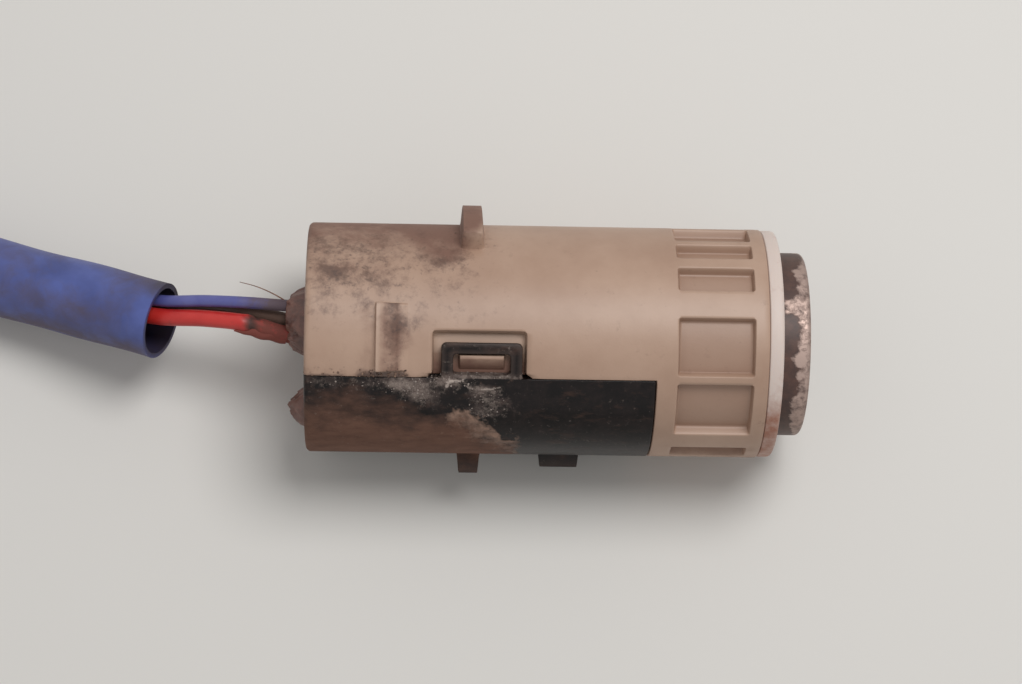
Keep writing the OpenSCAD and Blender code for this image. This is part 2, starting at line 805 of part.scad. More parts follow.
module plug_housing() {
    color([0.14, 0.14, 0.15]) in_plug_frame() difference() {
        union() {
            rounded_bar(0, plug_len, plug_w, plug_h, plug_round);
            rounded_bar(plug_len - root, nose_len + root, nose_w, nose_h, plug_round);
            plug_latch_arm();
        }
        at_each_way() translate([-over, 0, 0]) rotate([0, 90, 0])
            cylinder(h = seal_len + 2 * seat + over, d = seal_d + 2 * seat);
        at_each_way() translate([seal_len, -way_w / 2, -way_w / 2])
            cube([plug_len + nose_len, way_w, way_w]);
        translate([lock_x - bore_fit, -plug_w, lock_z0 - bore_fit])
            cube([lock_len + 2 * bore_fit, plug_w + nose_w / 2, lock_h + 2 * bore_fit]);
    }
}

// The bar that is pushed in from the side to keep the terminals from backing out
module plug_lock() {
    color("ivory") in_plug_frame() translate([lock_x, -plug_w / 2, lock_z0])
        cube([lock_len, plug_w / 2 + nose_w / 2 - bore_fit, lock_h]);
}

// Tinned terminals: a crimp round the wire's end and a box that takes the mating pin
module plug_terminals() {
    box_w = way_w - 2 * bore_fit;
    box_x = wire_end_x + 1;
    box_t = 0.4;
    box_back = 2;
    box_set_back = 1;
    crimp_x = seal_len + 0.2;
    color("lightsteelblue") in_plug_frame() for (w = [0 : 2]) at_way(w) {
        rotate([0, 90, 0]) translate([0, 0, crimp_x]) difference() {
            cylinder(h = box_x - seal_len, r = box_w / 2 - bore_fit);
            translate([0, 0, -over])
                cylinder(h = wire_end_x - seal_len + over, d = wire_d[w] + 2 * bore_fit);
        }
        difference() {
            translate([box_x, -box_w / 2, -box_w / 2])
                cube([plug_len + nose_len - box_set_back - box_x, box_w, box_w]);
            translate([box_x + box_back, box_t - box_w / 2, box_t - box_w / 2])
                cube([plug_len + nose_len, box_w - 2 * box_t, box_w - 2 * box_t]);
        }
    }
}

// Silicone seals with two ribs, one round each wire
module wire_seals() {
    r = seal_d / 2;
    valley = r - 0.3;
    bore_r = wire_d / 2 + [bore_fit, bore_fit, bore_fit];
    color("seagreen") in_plug_frame() for (w = [0 : 2]) at_way(w)
        rotate([0, 90, 0]) rotate_extrude() polygon([
            [bore_r[w], 0.1], [valley, 0.1], [r, 0.6], [r, 1.2], [valley, 1.7], [valley, seal_len - 1.6],
            [r, seal_len - 1.1], [r, seal_len - 0.5], [valley, seal_len], [bore_r[w], seal_len]
        ]);
}

// Silicone ring round the nose, against the main block's shoulder
module plug_face_seal() {
    shy = 0.3;
    ring_t = nose_step - shy;
    color("seagreen") in_plug_frame() difference() {
        rounded_bar(
            plug_len + seat, face_seal_t, nose_w + 2 * ring_t, nose_h + 2 * ring_t, plug_round + ring_t
        );
        rounded_bar(
            plug_len - over, face_seal_t + 2 * over, nose_w + 2 * seat, nose_h + 2 * seat, plug_round + seat
        );
    }
}

housing();
rear_cover();
decoupling_ring();
transducer_can();
piezo_disc();
damping_foam();
can_backing();
transducer_leads();
circuit_board();
transformer_core();
transformer_winding();
driver_chip();
electrolytic_capacitor();
chip_capacitors();
chip_resistors();
solder_joints();
sealing_resin();
signal_wire();
ground_wire();
supply_wire();
cable_sleeve();
plug_housing();
plug_lock();
plug_terminals();
wire_seals();
plug_face_seal();
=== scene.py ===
import math

import bmesh
import bpy
import numpy as np
from mathutils import Matrix, Vector, noise


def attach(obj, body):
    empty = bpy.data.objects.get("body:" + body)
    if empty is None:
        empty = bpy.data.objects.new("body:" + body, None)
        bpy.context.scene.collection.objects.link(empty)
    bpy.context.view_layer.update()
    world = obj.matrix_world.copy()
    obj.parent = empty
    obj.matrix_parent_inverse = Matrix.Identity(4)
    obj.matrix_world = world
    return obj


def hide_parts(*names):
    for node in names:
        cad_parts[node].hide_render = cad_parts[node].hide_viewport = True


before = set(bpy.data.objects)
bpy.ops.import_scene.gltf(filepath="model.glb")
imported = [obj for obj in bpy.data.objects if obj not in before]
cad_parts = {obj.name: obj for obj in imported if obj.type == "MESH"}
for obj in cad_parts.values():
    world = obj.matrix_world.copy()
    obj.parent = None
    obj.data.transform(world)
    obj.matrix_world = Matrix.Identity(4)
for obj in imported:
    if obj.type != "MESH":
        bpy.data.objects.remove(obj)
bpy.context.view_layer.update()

# Stage. A pale plain floor, one large soft lamp high on the right and an even surround light the sensor.
# The camera looks down on the sensor's side from 75 degrees above the floor, a little towards its front.
scene = bpy.context.scene
scene.view_settings.view_transform = "Standard"
MM = 0.001
floor_half = 1500
floor_drop = 0.05
surround_level = 0.40
lamp_place = Vector((0.07, 0.08, 0.33))
lamp_target = Vector((0, 0, 0.01))
lamp_size = 0.17
lamp_watts = 0.62
camera_target = Vector((-3.258, 0, 11.5)) * MM
camera_back = Vector((-0.035, -0.2528, 0.9675)).normalized()
camera_distance = 282.5 * MM
camera_drop = 0.22 * MM
camera_roll = math.radians(0.896)
camera_lens = 98.77


def linear(code):
    """An sRGB hex colour as linear red, green, blue and alpha."""
    parts = [int(code[i : i + 2], 16) / 255 for i in (1, 3, 5)]
    return [p / 12.92 if p <= 0.04045 else ((p + 0.055) / 1.055) ** 2.4 for p in parts] + [1.0]


def fill(tree, node, inputs):
    """Fills inputs of a node: another node's output is linked, and anything else is set as the value."""
    for socket, value in inputs.items():
        if isinstance(value, bpy.types.NodeSocket):
            tree.links.new(value, node.inputs[socket])
        else:
            node.inputs[socket].default_value = value


def add(tree, kind, inputs=None, **settings):
    """Adds a node with its settings, and fills its inputs."""
    made = tree.nodes.new(kind)
    for name, value in settings.items():
        setattr(made, name, value)
    fill(tree, made, inputs or {})
    return made


def start_material(name, *patterns):
    """A new material, its tree, and its noise patterns on Object coordinates.

    A pattern is given by its size in mm, its detail and, where they matter, its roughness and distortion.
    """
    made = bpy.data.materials.new(name)
    made.use_nodes = True
    tree = made.node_tree
    drawn = []
    for size, *grade in patterns:
        at = add(tree, "ShaderNodeTexCoord").outputs["Object"]
        inputs = {"Vector": at, "Scale": 1 / (size * MM)}
        inputs.update(zip(("Detail", "Roughness", "Distortion"), grade))
        drawn.append(add(tree, "ShaderNodeTexNoise", inputs).outputs[0])
    return made, tree, drawn


def finished(tree, colour, *reliefs, matt=None, sunk=False, **sockets):
    """Joins a colour and reliefs to a material's shader, and fills its other sockets, with _ for a space.

    A relief is a height, its strength and its depth in mm, and lies over the one before it. matt is what the
    roughness follows, and its two ends.
    """
    joined = {name.replace("_", " "): value for name, value in sockets.items()}
    joined["Base Color"] = colour
    for height, strength, depth in reliefs:
        inputs = {"Strength": strength, "Distance": depth * MM, "Height": height}
        if "Normal" in joined:
            inputs["Normal"] = joined["Normal"]
        joined["Normal"] = add(tree, "ShaderNodeBump", inputs, invert=sunk).outputs[0]
    if matt:
        value, low, high = matt
        inputs = {"Value": value, "To Min": low, "To Max": high}
        joined["Roughness"] = add(tree, "ShaderNodeMapRange", inputs).outputs[0]
    fill(tree, tree.nodes["Principled BSDF"], joined)


def in_scene(name, data):
    """A mesh, a lamp or a camera as an object of the scene, at the origin of the part's frame."""
    made = bpy.data.objects.new(name, data)
    scene.collection.objects.link(made)
    return made


def build(name, points, faces, material):
    """An object made of points in mm and of faces."""
    mesh = bpy.data.meshes.new(name)
    points = np.asarray(points, float).reshape(-1, 3) * MM
    mesh.from_pydata([tuple(p) for p in points], [], [tuple(f) for f in faces])
    mesh.validate()
    mesh.materials.append(material)
    return in_scene(name, mesh)


# Plain pale card, matt: it takes soft shadows and gives no glare.
card, tree, _ = start_material("matt_backdrop_card")
finished(tree, linear("#e4e1dc"), Roughness=0.9, Specular_IOR_Level=0.1)
corners = [(x * floor_half, y * floor_half, -floor_drop) for x, y in ((-1, -1), (1, -1), (1, 1), (-1, 1))]
build("floor", corners, [(0, 1, 2, 3)], card)

scene.world = bpy.data.worlds.new("surround")
scene.world.use_nodes = True
tree = scene.world.node_tree
ray = add(tree, "ShaderNodeLightPath").outputs
seen = ray["Is Camera Ray"]
for other in ("Is Glossy Ray", "Is Transmission Ray"):
    seen = add(tree, "ShaderNodeMath", {0: seen, 1: ray[other]}, operation="MAXIMUM").outputs[0]
level = add(tree, "ShaderNodeMapRange", {"Value": seen, "To Min": surround_level, "To Max": 1.0})
fill(tree, tree.nodes["Background"], {"Color": linear("#ffffff"), "Strength": level.outputs[0]})

lamp = bpy.data.lights.new("soft_lamp", "AREA")
lamp.shape = "DISK"
lamp.size = lamp_size
lamp.energy = lamp_watts
lamp_stand = in_scene("soft_lamp", lamp)
lamp_stand.location = lamp_place
lamp_stand.rotation_euler = (lamp_target - lamp_place).to_track_quat("-Z", "Y").to_euler()

level_right = (Vector((1, 0, 0)) - camera_back * camera_back.x).normalized()
level_up = camera_back.cross(level_right)
right = level_right * math.cos(camera_roll) + level_up * math.sin(camera_roll)
up = camera_back.cross(right)
eye = camera_target + camera_back * camera_distance - up * camera_drop
lens = bpy.data.cameras.new("camera")
lens.lens = camera_lens
lens.sensor_width = 36
lens.clip_start = 0.01
scene.camera = in_scene("camera", lens)
turn = Matrix((right, up, camera_back)).transposed()
scene.camera.matrix_world = Matrix.Translation(eye) @ turn.to_4x4()

# Wires. Three stranded copper wires in extruded PVC leave the board, pass through the resin and run in the
# sleeve to the plug. The insulation has gone matt with dust, and the red one is nicked close to the sensor.
crown_lean = math.radians(56)
body_r = 11.5
x_mid = 23.665
wire_kinds = (
    # Node, diameter, slot, material, its darker and its paler tone, and its tone under dust
    ("signal_wire", 1.2, "blue_insulation", "blue_pvc_insulation", "#474a8c", "#5d5f9c", "#5f5058"),
    ("ground_wire", 1.5, "brown_insulation", "brown_pvc_insulation", "#3a2823", "#513931", "#5f483d"),
    ("supply_wire", 1.7, "red_insulation", "red_pvc_insulation", "#b81f1a", "#c62f29", "#75392f"),
)
wire_exit = ((3.05, -0.65, -2.4), (1.3, -1.3, -2.4), (0.35, 0.3, -2.4))
resin_foot = 3.1
board_route = (
    ((0.86, -4, 10.8), (0.86, -4, 9.6), (1.9, -3, 7.2), (2.9, -1.5, 4.8)),
    ((0.86, -1, 10.8), (0.86, -1, 9.6), (0.9, -1, 7.2), (1.15, -1.1, 4.8)),
    ((0.86, 2, 10.8), (0.86, 2, 9.6), (0.9, 1.6, 7.2), (0.7, 0.9, 4.8)),
)
gap_route = (
    ((-29, 3.1, 12.6), (-34, 3.45, 11.9)),
    ((-29, 2.5, 11), (-34, 3.2, 10.1)),
    ((-29, 1, 12), (-34, 1.8, 11.2)),
)
sleeve_route = (
    (-38.6, 1.9, 9.5), (-47, 4.7, 7.2), (-56, 7.5, 5.4), (-66, 10.7, 4.4), (-78, 14.7, 4),
    (-92, 19.2, 4), (-106, 22.9, 4), (-120, 25.3, 4), (-131, 26, 4),
)
near_offset = ((0, 1.85, 1.05), (0, 1.6, -0.7), (0, 0.3, 0.6))
far_offset = ((0, 1.9, -0.3), (0, 0, -1.5), (0, -1.9, -0.3))
plug_rear = -142
plug_mid = 26
way_pitch = 4.2
way_height = 4.8
wire_end = -148.5
wire_pitch = 0.5
curve_steps = 6000
wire_sides = 20
light_grime = 0.18
resin_grime = 0.75
ground_grime = 0.25
nick_x = -29.2
nick_grime = 0.62
nick_depth = 0.26
nick_lip = 0.10


def laid(points):
    """Points of the sensor's own frame, with z along its axis, to where the sensor lies; mm to mm."""
    x, y, z = np.asarray(points, float).reshape(-1, 3).T
    sin, cos = math.sin(crown_lean), math.cos(crown_lean)
    return np.stack([z - x_mid, x * sin - y * cos, body_r + x * cos + y * sin], axis=1)


def wire_route(w):
    """The points that wire w goes through, as in the part's source, in mm."""
    x, y, z = wire_exit[w]
    share = np.linspace(0, 1, len(sleeve_route))[:, None]
    within = np.array(sleeve_route) + np.array(near_offset[w]) * (1 - share) + np.array(far_offset[w]) * share
    way = plug_mid + (1 - w) * way_pitch
    mouth = np.array((plug_rear, way, way_height))
    return np.vstack([
        laid(board_route[w]), laid([(x, y, resin_foot), (x, y, z)]), gap_route[w], within,
        (within[-1] + mouth) / 2, mouth + (1, 0, 0), (wire_end, way, way_height),
    ])


def smooth_route(points, pitch):
    """One smooth curve through the points, as points an even pitch apart."""
    knots = np.asarray(points, float)
    gaps = np.linalg.norm(np.diff(knots, axis=0), axis=1)
    at = np.concatenate([[0], np.cumsum(gaps)])
    slope = np.gradient(knots, at, axis=0)
    u = np.linspace(0, at[-1], curve_steps)
    k = np.clip(np.searchsorted(at, u, "right") - 1, 0, len(gaps) - 1)
    h = gaps[k][:, None]
    s = ((u - at[k]) / gaps[k])[:, None]
    curve = (
        (2 * s**3 - 3 * s**2 + 1) * knots[k] + (s**3 - 2 * s**2 + s) * h * slope[k]
        + (3 * s**2 - 2 * s**3) * knots[k + 1] + (s**3 - s**2) * h * slope[k + 1]
    )
    run = np.concatenate([[0], np.cumsum(np.linalg.norm(np.diff(curve, axis=0), axis=1))])
    even = np.linspace(0, run[-1], max(2, round(run[-1] / pitch) + 1))
    return np.stack([np.interp(even, run, curve[:, c]) for c in range(3)], axis=1)


def turns(sides):
    """The angles of a ring's points, in radians."""
    return np.arange(sides) * 2 * math.pi / sides


def swept(path, radius, sides):
    """Rings of points round a path; radius is a number or a table of rings by sides."""
    heading = np.gradient(path, axis=0)
    heading /= np.linalg.norm(heading, axis=1)[:, None]
    side = np.cross((0, 0, 1), heading[0])
    cos, sin = np.cos(turns(sides))[:, None], np.sin(turns(sides))[:, None]
    rings = []
    for middle, ahead, r in zip(path, heading, np.broadcast_to(radius, (len(path), sides))):
        side = side - ahead * np.dot(side, ahead)
        side /= np.linalg.norm(side)
        rings.append(middle + r[:, None] * (cos * side + sin * np.cross(ahead, side)))
    return np.array(rings)


def bands(rings, wrap=False):
    """Quads between neighbouring rings of points; with wrap the last ring joins the first."""
    count, sides = rings.shape[:2]
    faces = []
    for i in range(count if wrap else count - 1):
        a, b = i * sides, (i + 1) % count * sides
        faces += [(a + k, a + (k + 1) % sides, b + (k + 1) % sides, b + k) for k in range(sides)]
    return faces


def capped(rings):
    """The bands between rings, with a flat face over the first ring and over the last."""
    count, sides = rings.shape[:2]
    ends = [range(sides)[::-1], range((count - 1) * sides, count * sides)]
    return bands(rings) + [tuple(end) for end in ends]


def mark(made, name, values):
    """A number for each point of a piece, which its material reads by name."""
    made.data.attributes.new(name, "FLOAT", "POINT").data.foreach_set("value", np.ravel(values).astype("f"))


def bell(x, middle, width):
    """A soft bump of height 1 round the middle."""
    return np.exp(-(((x - middle) / width) ** 2))


def coated(tree, base, over, pattern, low, high, most=1.0, marked=None, weight=1.0, **settings):
    """A base colour with another over it, where a pattern rises from low to high; also gives how much.

    A mark of the piece, times its weight, is added to the pattern. The pattern may be 0.
    """
    if marked:
        strength = add(tree, "ShaderNodeAttribute", attribute_name=marked).outputs["Fac"]
        raised = {0: strength, 1: weight, 2: pattern}
        pattern = add(tree, "ShaderNodeMath", raised, operation="MULTIPLY_ADD").outputs[0]
    reach = {"Value": pattern, "From Min": low, "From Max": high, "To Max": most}
    amount = add(tree, "ShaderNodeMapRange", reach, **settings).outputs[0]
    tones = {0: amount, 6: base, 7: linear(over) if isinstance(over, str) else over}
    return add(tree, "ShaderNodeMix", tones, data_type="RGBA").outputs[2], amount


def hand_over(made, stands_for=None, crisp=60):
    """Finishes a piece: smooth but for edges sharper than crisp degrees, on its body; hides what it stands
    for.
    """
    made.data.shade_smooth()
    made.data.set_sharp_from_angle(angle=math.radians(crisp))
    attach(made, "root")
    if stands_for:
        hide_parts(stands_for)


for w, (node, thick, slot, title, deep, pale, dusty) in enumerate(wire_kinds):
    # Extruded PVC, once glossy: dust in its pores leaves a soft sheen and cloudy patches about 2 mm wide.
    pvc, tree, (cloud, fleck) = start_material(title, (2.2, 5), (0.9, 7, 0.65))
    colour, _ = coated(tree, linear(deep), pale, cloud, 0.35, 0.65)
    colour, dirty = coated(tree, colour, dusty, fleck, 0.75, 1.3, marked="grime")
    colour, _ = coated(tree, colour, "#2b201b", 0, 0, 1, marked="cut")
    finished(tree, colour, (fleck, 0.5, 0.06), matt=(dirty, 0.38, 0.8), IOR=1.53)

    path = smooth_route(wire_route(w), wire_pitch)
    x, around = path[:, :1], turns(wire_sides)
    radius = np.full((len(path), wire_sides), thick / 2)
    gash = np.zeros_like(radius)
    grime = light_grime + resin_grime * np.clip((x + 32) / 6, 0, 1)
    if node == "ground_wire":
        grime = grime + ground_grime
    if node == "supply_wire":
        # The nick: the insulation is torn across, with a ragged lip, and is thin and dirty beyond it
        ragged = x - 0.25 * np.sin(3 * around) - 0.15 * np.sin(5 * around + 1)
        gash = bell(ragged, nick_x, 0.42)
        lip = bell(ragged, nick_x - 0.75, 0.45)
        thin = 0.1 * (x > nick_x + 0.5) * np.sin(around) ** 2
        radius = radius - nick_depth * gash + nick_lip * lip - thin
        grime = light_grime + nick_grime * np.clip((x - nick_x + 1.2) / 1.2, 0, 1)
    rings = swept(path, radius, wire_sides)
    made = build(node + "_visual", rings, capped(rings), pvc)
    mark(made, "grime", np.broadcast_to(grime, radius.shape))
    mark(made, "cut", np.clip(gash * 1.3, 0, 0.9))
    hand_over(made, node)

# Sleeve. A soft blue PVC tube that was pushed over the three wires. It is thin, so it has gone a little
# flat where it was handled, its cut mouth stays open, and road dust clings to it.
sleeve_r = 4.0
sleeve_wall = 0.5
sleeve_sides = 72
sleeve_pitch = 0.75
far = 999  # A stripe that ends here has no end on that side
sleeve_dust = (
    # Amount, angle round the tube and run from the near mouth: two rubbed places, then dirty ones
    (-0.38, (112, 24), (9, 3.2)),
    (-0.42, (70, 38), (-far, 0, 3.5)),
    (0.25, (62, 14), (9, 5.5)),
    (0.40, (-far, 0, 35), (-far, far, 1)),
    (0.34, (155, 30), (-far, 2.5, 5)),
)


def stripe(x, low, high, soft):
    """1 between low and high, falling off softly outside."""
    return np.clip(np.minimum((x - low) / soft, (high - x) / soft) + 1, 0, 1)


def smudges(angle, along, patches):
    """The sum of soft patches, each an amount and its reach in angle and along the piece.

    A reach of two numbers is a bell's middle and width; one of three is a stripe's ends and softness.
    """
    total = 0
    for amount, *reaches in patches:
        for x, reach in zip((angle, along), reaches):
            amount = amount * (bell(x, *reach) if len(reach) == 2 else stripe(x, *reach))
        total = total + amount
    return total


# Extruded soft PVC, deep blue and satin: clouded in patches of 4 mm, with grey-brown dust smeared over it
# and a darker inside.
tube, tree, (cloud, smear) = start_material("blue_pvc_sleeve", (4, 6), (2.4, 7, 0.62, 0.6))
colour, _ = coated(tree, linear("#3a4682"), "#4d5b9d", cloud, 0.36, 0.62)
colour, dusty = coated(tree, colour, "#51444a", smear, 0.62, 1.2, 0.85, marked="dust")
colour, _ = coated(tree, colour, "#2a2023", 0, 0, 1, marked="shade")
finished(tree, colour, (smear, 0.4, 0.08), matt=(dusty, 0.36, 0.75), IOR=1.53)

sleeve_path = smooth_route(sleeve_route, sleeve_pitch)
sleeve_path[:, 2] = np.maximum(sleeve_path[:, 2], sleeve_r)
run = np.arange(len(sleeve_path))[:, None] * sleeve_pitch
around = turns(sleeve_sides)[None, :]
dent = 0.1 + 0.05 * np.sin(0.55 * run + 2 * around + 0.8) + 0.05 * np.sin(0.23 * run - 3 * around)
outer = swept(sleeve_path, sleeve_r - dent, sleeve_sides)
inner = swept(sleeve_path, sleeve_r - sleeve_wall - dent, sleeve_sides)[::-1]
rings = np.concatenate([outer, inner])
sleeve_piece = build("cable_sleeve_visual", rings, bands(rings, wrap=True), tube)
degrees = np.degrees(around)
dust = 0.30 + 0.25 * (degrees > 180) + smudges(degrees, run, sleeve_dust)
mark(sleeve_piece, "dust", np.concatenate([dust, dust[::-1] * 0.6]))
upper_lip = 0.8 * np.clip(1.6 - run / 1.1, 0, 1) * np.clip(-1.5 * np.cos(around) - 0.3, 0, 1)
mark(sleeve_piece, "shade", np.concatenate([upper_lip, np.full_like(upper_lip, 0.82)]))
hand_over(sleeve_piece, "cable_sleeve")

# Housing. Tan glass-filled PBT, injection moulded in one shot: a half-round trough that the board is staked
# in, a bulkhead, and a closed collar with weight-saving pockets round it. It is grimy on its rear and top.
half_gap = 0.04
housing_len = 45.2
bulkhead_z = 34.28
inside_limit = 10.3
mm_per_degree = body_r * math.pi / 180
wall_half = 0.13
fine_half = 0.1
rim_round = 0.5
front_round = 0.2
part_round = 0.12
end_round = 0.15
parting_degrees = math.degrees(math.acos(half_gap / body_r))
crown_pockets = ((-9, 9), (171, 189))
side_pockets = ((14, 24), (31.5, 44), (59, 87), (92, 122), (135.5, 148), (156, 166))
pocket_z = (36.38, 43.7)
pocket_depth = 0.9
pocket_corner = 0.18
wedge_span = (54, 86.5)
wedge_rise = ((6.84, 6.96, 7.3, 10.1), (0, 0.9, 0.9, 0))
wedge_lines = (6.9, 7.3, 10.1)
lug_half = 20
lug_z = (15.2, 17.3)
lug_h = 1.945
lug_corner = 0.15
recess_span = (67, 120)
recess_z = (12.48, 21.5)
recess_depth = 1.1
recess_corner = 0.35
recess_flare = 0.7
nub_span = (60, 100)
nub_rise = ((78.35, 78.85, 80.4, 87), (0, 0.95, 0.95, 0))
nub_lines = (78.6, 80.4, 87)
nub_z = (15.05, 19.42)
rim_steps = (0.04, 0.13, 0.25, 0.37)
end_steps = (0.05, 0.12)
grid_turn = 1.6
grid_step = 0.6
# Dirt, as an amount and its reach in degrees from the crown and in mm from the rear rim: a brown film on the
# crown and in patches, dark specks in it, and soil along the seam and at the foot of the lug
top_film = ((0.72, (-far, -4, 34), (-2, 12, 10)),)
film_patches = (
    (0.20, (14, 34, 14), (-2, 6, 7)), (0.16, (40, 80, 15), (-2, 9, 5)), (0.30, (8, 14), (12, 2.5)),
    (0.55, (27, 8), (13.4, 1.9)), (0.55, (8, 14), (15, 2.2)), (0.40, (68, 11), (9.6, 0.9)),
    # The band at 6.2 mm behind the wedge's steep face is painted shadow of that face as well as film
    (0.20, (55, 88, 3), (6.2, 0.6)), (0.55, (94, 6), (-1, 20, 3)), (0.40, (158, far, 40), (-far, far, 1)),
    (0.30, (-far, -60, 50), (-2, 14, 18)),
)
speck_patches = (
    (0.95, (37, 3.4), (2.9, 0.8)), (0.38, (16, 44, 9), (1, 7, 4)), (0.60, (29, 8), (13.4, 2.4)),
    (0.80, (66, 6), (9.6, 0.9)), (0.35, (-30, 60, 10), (0, 16, 5)), (0.40, (-far, -50, 40), (-2, 16, 18)),
    (0.55, (87, 3), (0.5, 4, 2)),
)
soil_patches = (
    (1.0, (89.5, 3.4), (5.6, 9.8, 0.9)), (0.8, (90, 1.8), (0.6, 3.4, 1.5)), (0.45, (88, 2.5), (11.8, 0.8)),
    (0.35, (4, 16), (14.7, 0.6)), (0.35, (4, 16), (17.8, 0.6)), (0.5, (-89, 3), (3, 24, 4)),
)


def lines(low, high, step, edges, reach, more=()):
    """Grid lines from low to high, and more of them close round each edge so that it can be round."""
    spread = (-1, -0.6, -0.3, 0, 0.3, 0.6, 1)
    wanted = sorted([*np.arange(low, high, step), *(e + reach * s for e in edges for s in spread), *more])
    kept = [low]
    for line in wanted:
        if kept[-1] + 0.2 * reach < line < high - 0.2 * reach:
            kept.append(line)
    return np.array(kept + [high])


def inside(angle, z, span, reach, corner=0.1, grow=0.0):
    """How far a point lies inside a rounded rectangle of the surface, in mm; negative outside it."""
    a = (np.abs(angle - sum(span) / 2) - (span[1] - span[0]) / 2) * mm_per_degree + corner
    b = np.abs(z - sum(reach) / 2) - (reach[1] - reach[0]) / 2 + corner - grow
    return corner - np.hypot(np.maximum(a, 0), np.maximum(b, 0)) - np.minimum(np.maximum(a, b), 0)


def wall(depth, half=wall_half):
    """A moulded wall with rounded edges: from 0 outside to 1 inside."""
    t = np.clip(depth / half / 2 + 0.5, 0, 1)
    return t * t * (3 - 2 * t)


def rounded(gap, r):
    """How far a rounded edge of radius r falls away, at this gap from the edge."""
    t = np.clip(r - gap, 0, r)
    return r - np.sqrt(r * r - t * t)


def clouds(angle, z, size, seed):
    """Random lumps about this size in mm on the surface, roughly from -1 to 1."""
    a, b = np.broadcast_arrays(angle * mm_per_degree / size, z / size)
    heights = [noise.fractal(Vector((p, q, seed)), 0.7, 2.0, 5) for p, q in zip(a.flat, b.flat)]
    return np.array(heights).reshape(a.shape)


def housing_form(angle, z):
    """The housing's outside: its radius, and marks for edges, painted pocket shade, film, specks and soil."""
    angle, z = np.broadcast_arrays(angle, z)
    side = np.abs(angle)
    in_trough = z < bulkhead_z
    r = body_r - rounded(z, rim_round) - rounded(housing_len - z, front_round)
    edge, pocket_shade = np.zeros(z.shape), np.zeros(z.shape)
    for span in (*crown_pockets, *side_pockets):
        depth = inside(side, z, span, pocket_z, pocket_corner)
        r = r - pocket_depth * wall(depth)
        edge = np.maximum(edge, 0.3 * bell(depth, -0.1, 0.1))
        # Painted shade: the pocket floors are drawn darker, most of all just inside their walls
        pocket_shade = np.maximum(pocket_shade, wall(depth) * (0.75 + 0.25 * bell(depth, 0.15, 0.35)))
    gap = np.clip(90 - side, 0, None) * mm_per_degree
    recess = inside(side, z, recess_span, recess_z, recess_corner, rounded(gap, recess_flare))
    recess = wall(np.where(in_trough & (side <= 90), recess, -5))
    wedge = wall(inside(side, z, wedge_span, (0, 20)), fine_half)
    rise = np.interp(z, *wedge_rise) * wedge
    lug = inside(angle, z, (-lug_half, lug_half), lug_z, lug_corner)
    nub = np.interp(side, *nub_rise) * wall(inside(side, z, nub_span, nub_z), fine_half)
    r = r - recess_depth * recess + rise + lug_h * wall(lug) + np.where(in_trough, nub, 0)
    r = r - np.where(in_trough, rounded(gap, part_round), 0)
    r = r - np.where(side > 90, rounded(z - bulkhead_z, end_round), 0)
    # Paler edges: rubbed on the lug and on the nub's crest; painted light in the top of the latch recess,
    # against the shade under its top wall, and a painted highlight on the wedge's crest
    for rub_and_light in (
        1.2 * recess * (side < 78),
        bell(lug, 0.1, 0.1) + 0.9 * bell(z, 7.05, 0.22) * wedge,
        1.6 * bell(side, 79.2, 0.55) * (nub > 0.3),
    ):
        edge = np.maximum(edge, rub_and_light)
    on_wedge = rise > 0.02
    film = smudges(angle, z, top_film) * np.clip((angle + 80) / 50, 0.35, 1)
    film = film + smudges(angle, z, film_patches) + 0.25 * wall(lug)
    # The film in the latch recess deepens towards the seam: dirt, and painted shade as well
    film = film + 0.36 * on_wedge * stripe(z, 7.6, 9.0, 0.5) + 0.66 * recess * stripe(side, 84, 100, 12)
    specks = 0.08 + smudges(angle, z, speck_patches) + 0.6 * on_wedge * stripe(z, 7.9, 9.2, 0.4)
    soil = smudges(angle, z, soil_patches)
    return r, {"edge": edge, "pocket_shade": pocket_shade, "film": film, "specks": specks, "soil": soil}


def own_frame(node):
    """A CAD node's mesh, merged, in the sensor's own frame and in mm."""
    mesh = bmesh.new()
    mesh.from_mesh(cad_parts[node].data)
    bmesh.ops.remove_doubles(mesh, verts=mesh.verts, dist=0.001 * MM)
    sin, cos = math.sin(crown_lean), math.cos(crown_lean)
    for v in mesh.verts:
        x, y, z = v.co / MM
        v.co = (y * sin + (z - body_r) * cos, (z - body_r) * sin - y * cos, x + x_mid)
    return mesh


def on_flat(v, flat):
    """Whether a point lies on a flat, given as an axis and a place on it."""
    return abs(v.co[flat[0]] - flat[1]) < 0.004


def keep_inside(mesh, flats):
    """Keeps a solid's inner faces: not its outer skin, and not what lies on one of the flats."""
    drop = [
        f for f in mesh.faces
        if any(all(on_flat(v, flat) for v in f.verts) for flat in flats)
        or max(math.hypot(v.co.x, v.co.y) for v in f.verts) > inside_limit
    ]
    bmesh.ops.delete(mesh, geom=drop, context="FACES")


def lay_skin(mesh, angles, heights, form, shared=None, ring=False):
    """Lays a grid of points on a form, with quads between them, and gives its columns.

    shared holds the points of the grid that already exist; with ring the last column joins the first.
    """
    r, marks = form(angles[:, None], heights[None, :])
    layers = {n: mesh.verts.layers.float.get(n) or mesh.verts.layers.float.new(n) for n in marks}
    grid = []
    for i, angle in enumerate(np.radians(angles)):
        column = []
        for j, z in enumerate(heights):
            v = shared and shared.get((i, j))
            if not v:
                v = mesh.verts.new((r[i, j] * math.cos(angle), r[i, j] * math.sin(angle), z))
                for n, layer in layers.items():
                    v[layer] = marks[n][i, j]
            column.append(v)
        grid.append(column)
    for a, b in zip(grid, grid[1:] + grid[:1] if ring else grid[1:]):
        for j in range(len(a) - 1):
            mesh.faces.new((a[j], a[j + 1], b[j + 1], b[j]))
    return grid


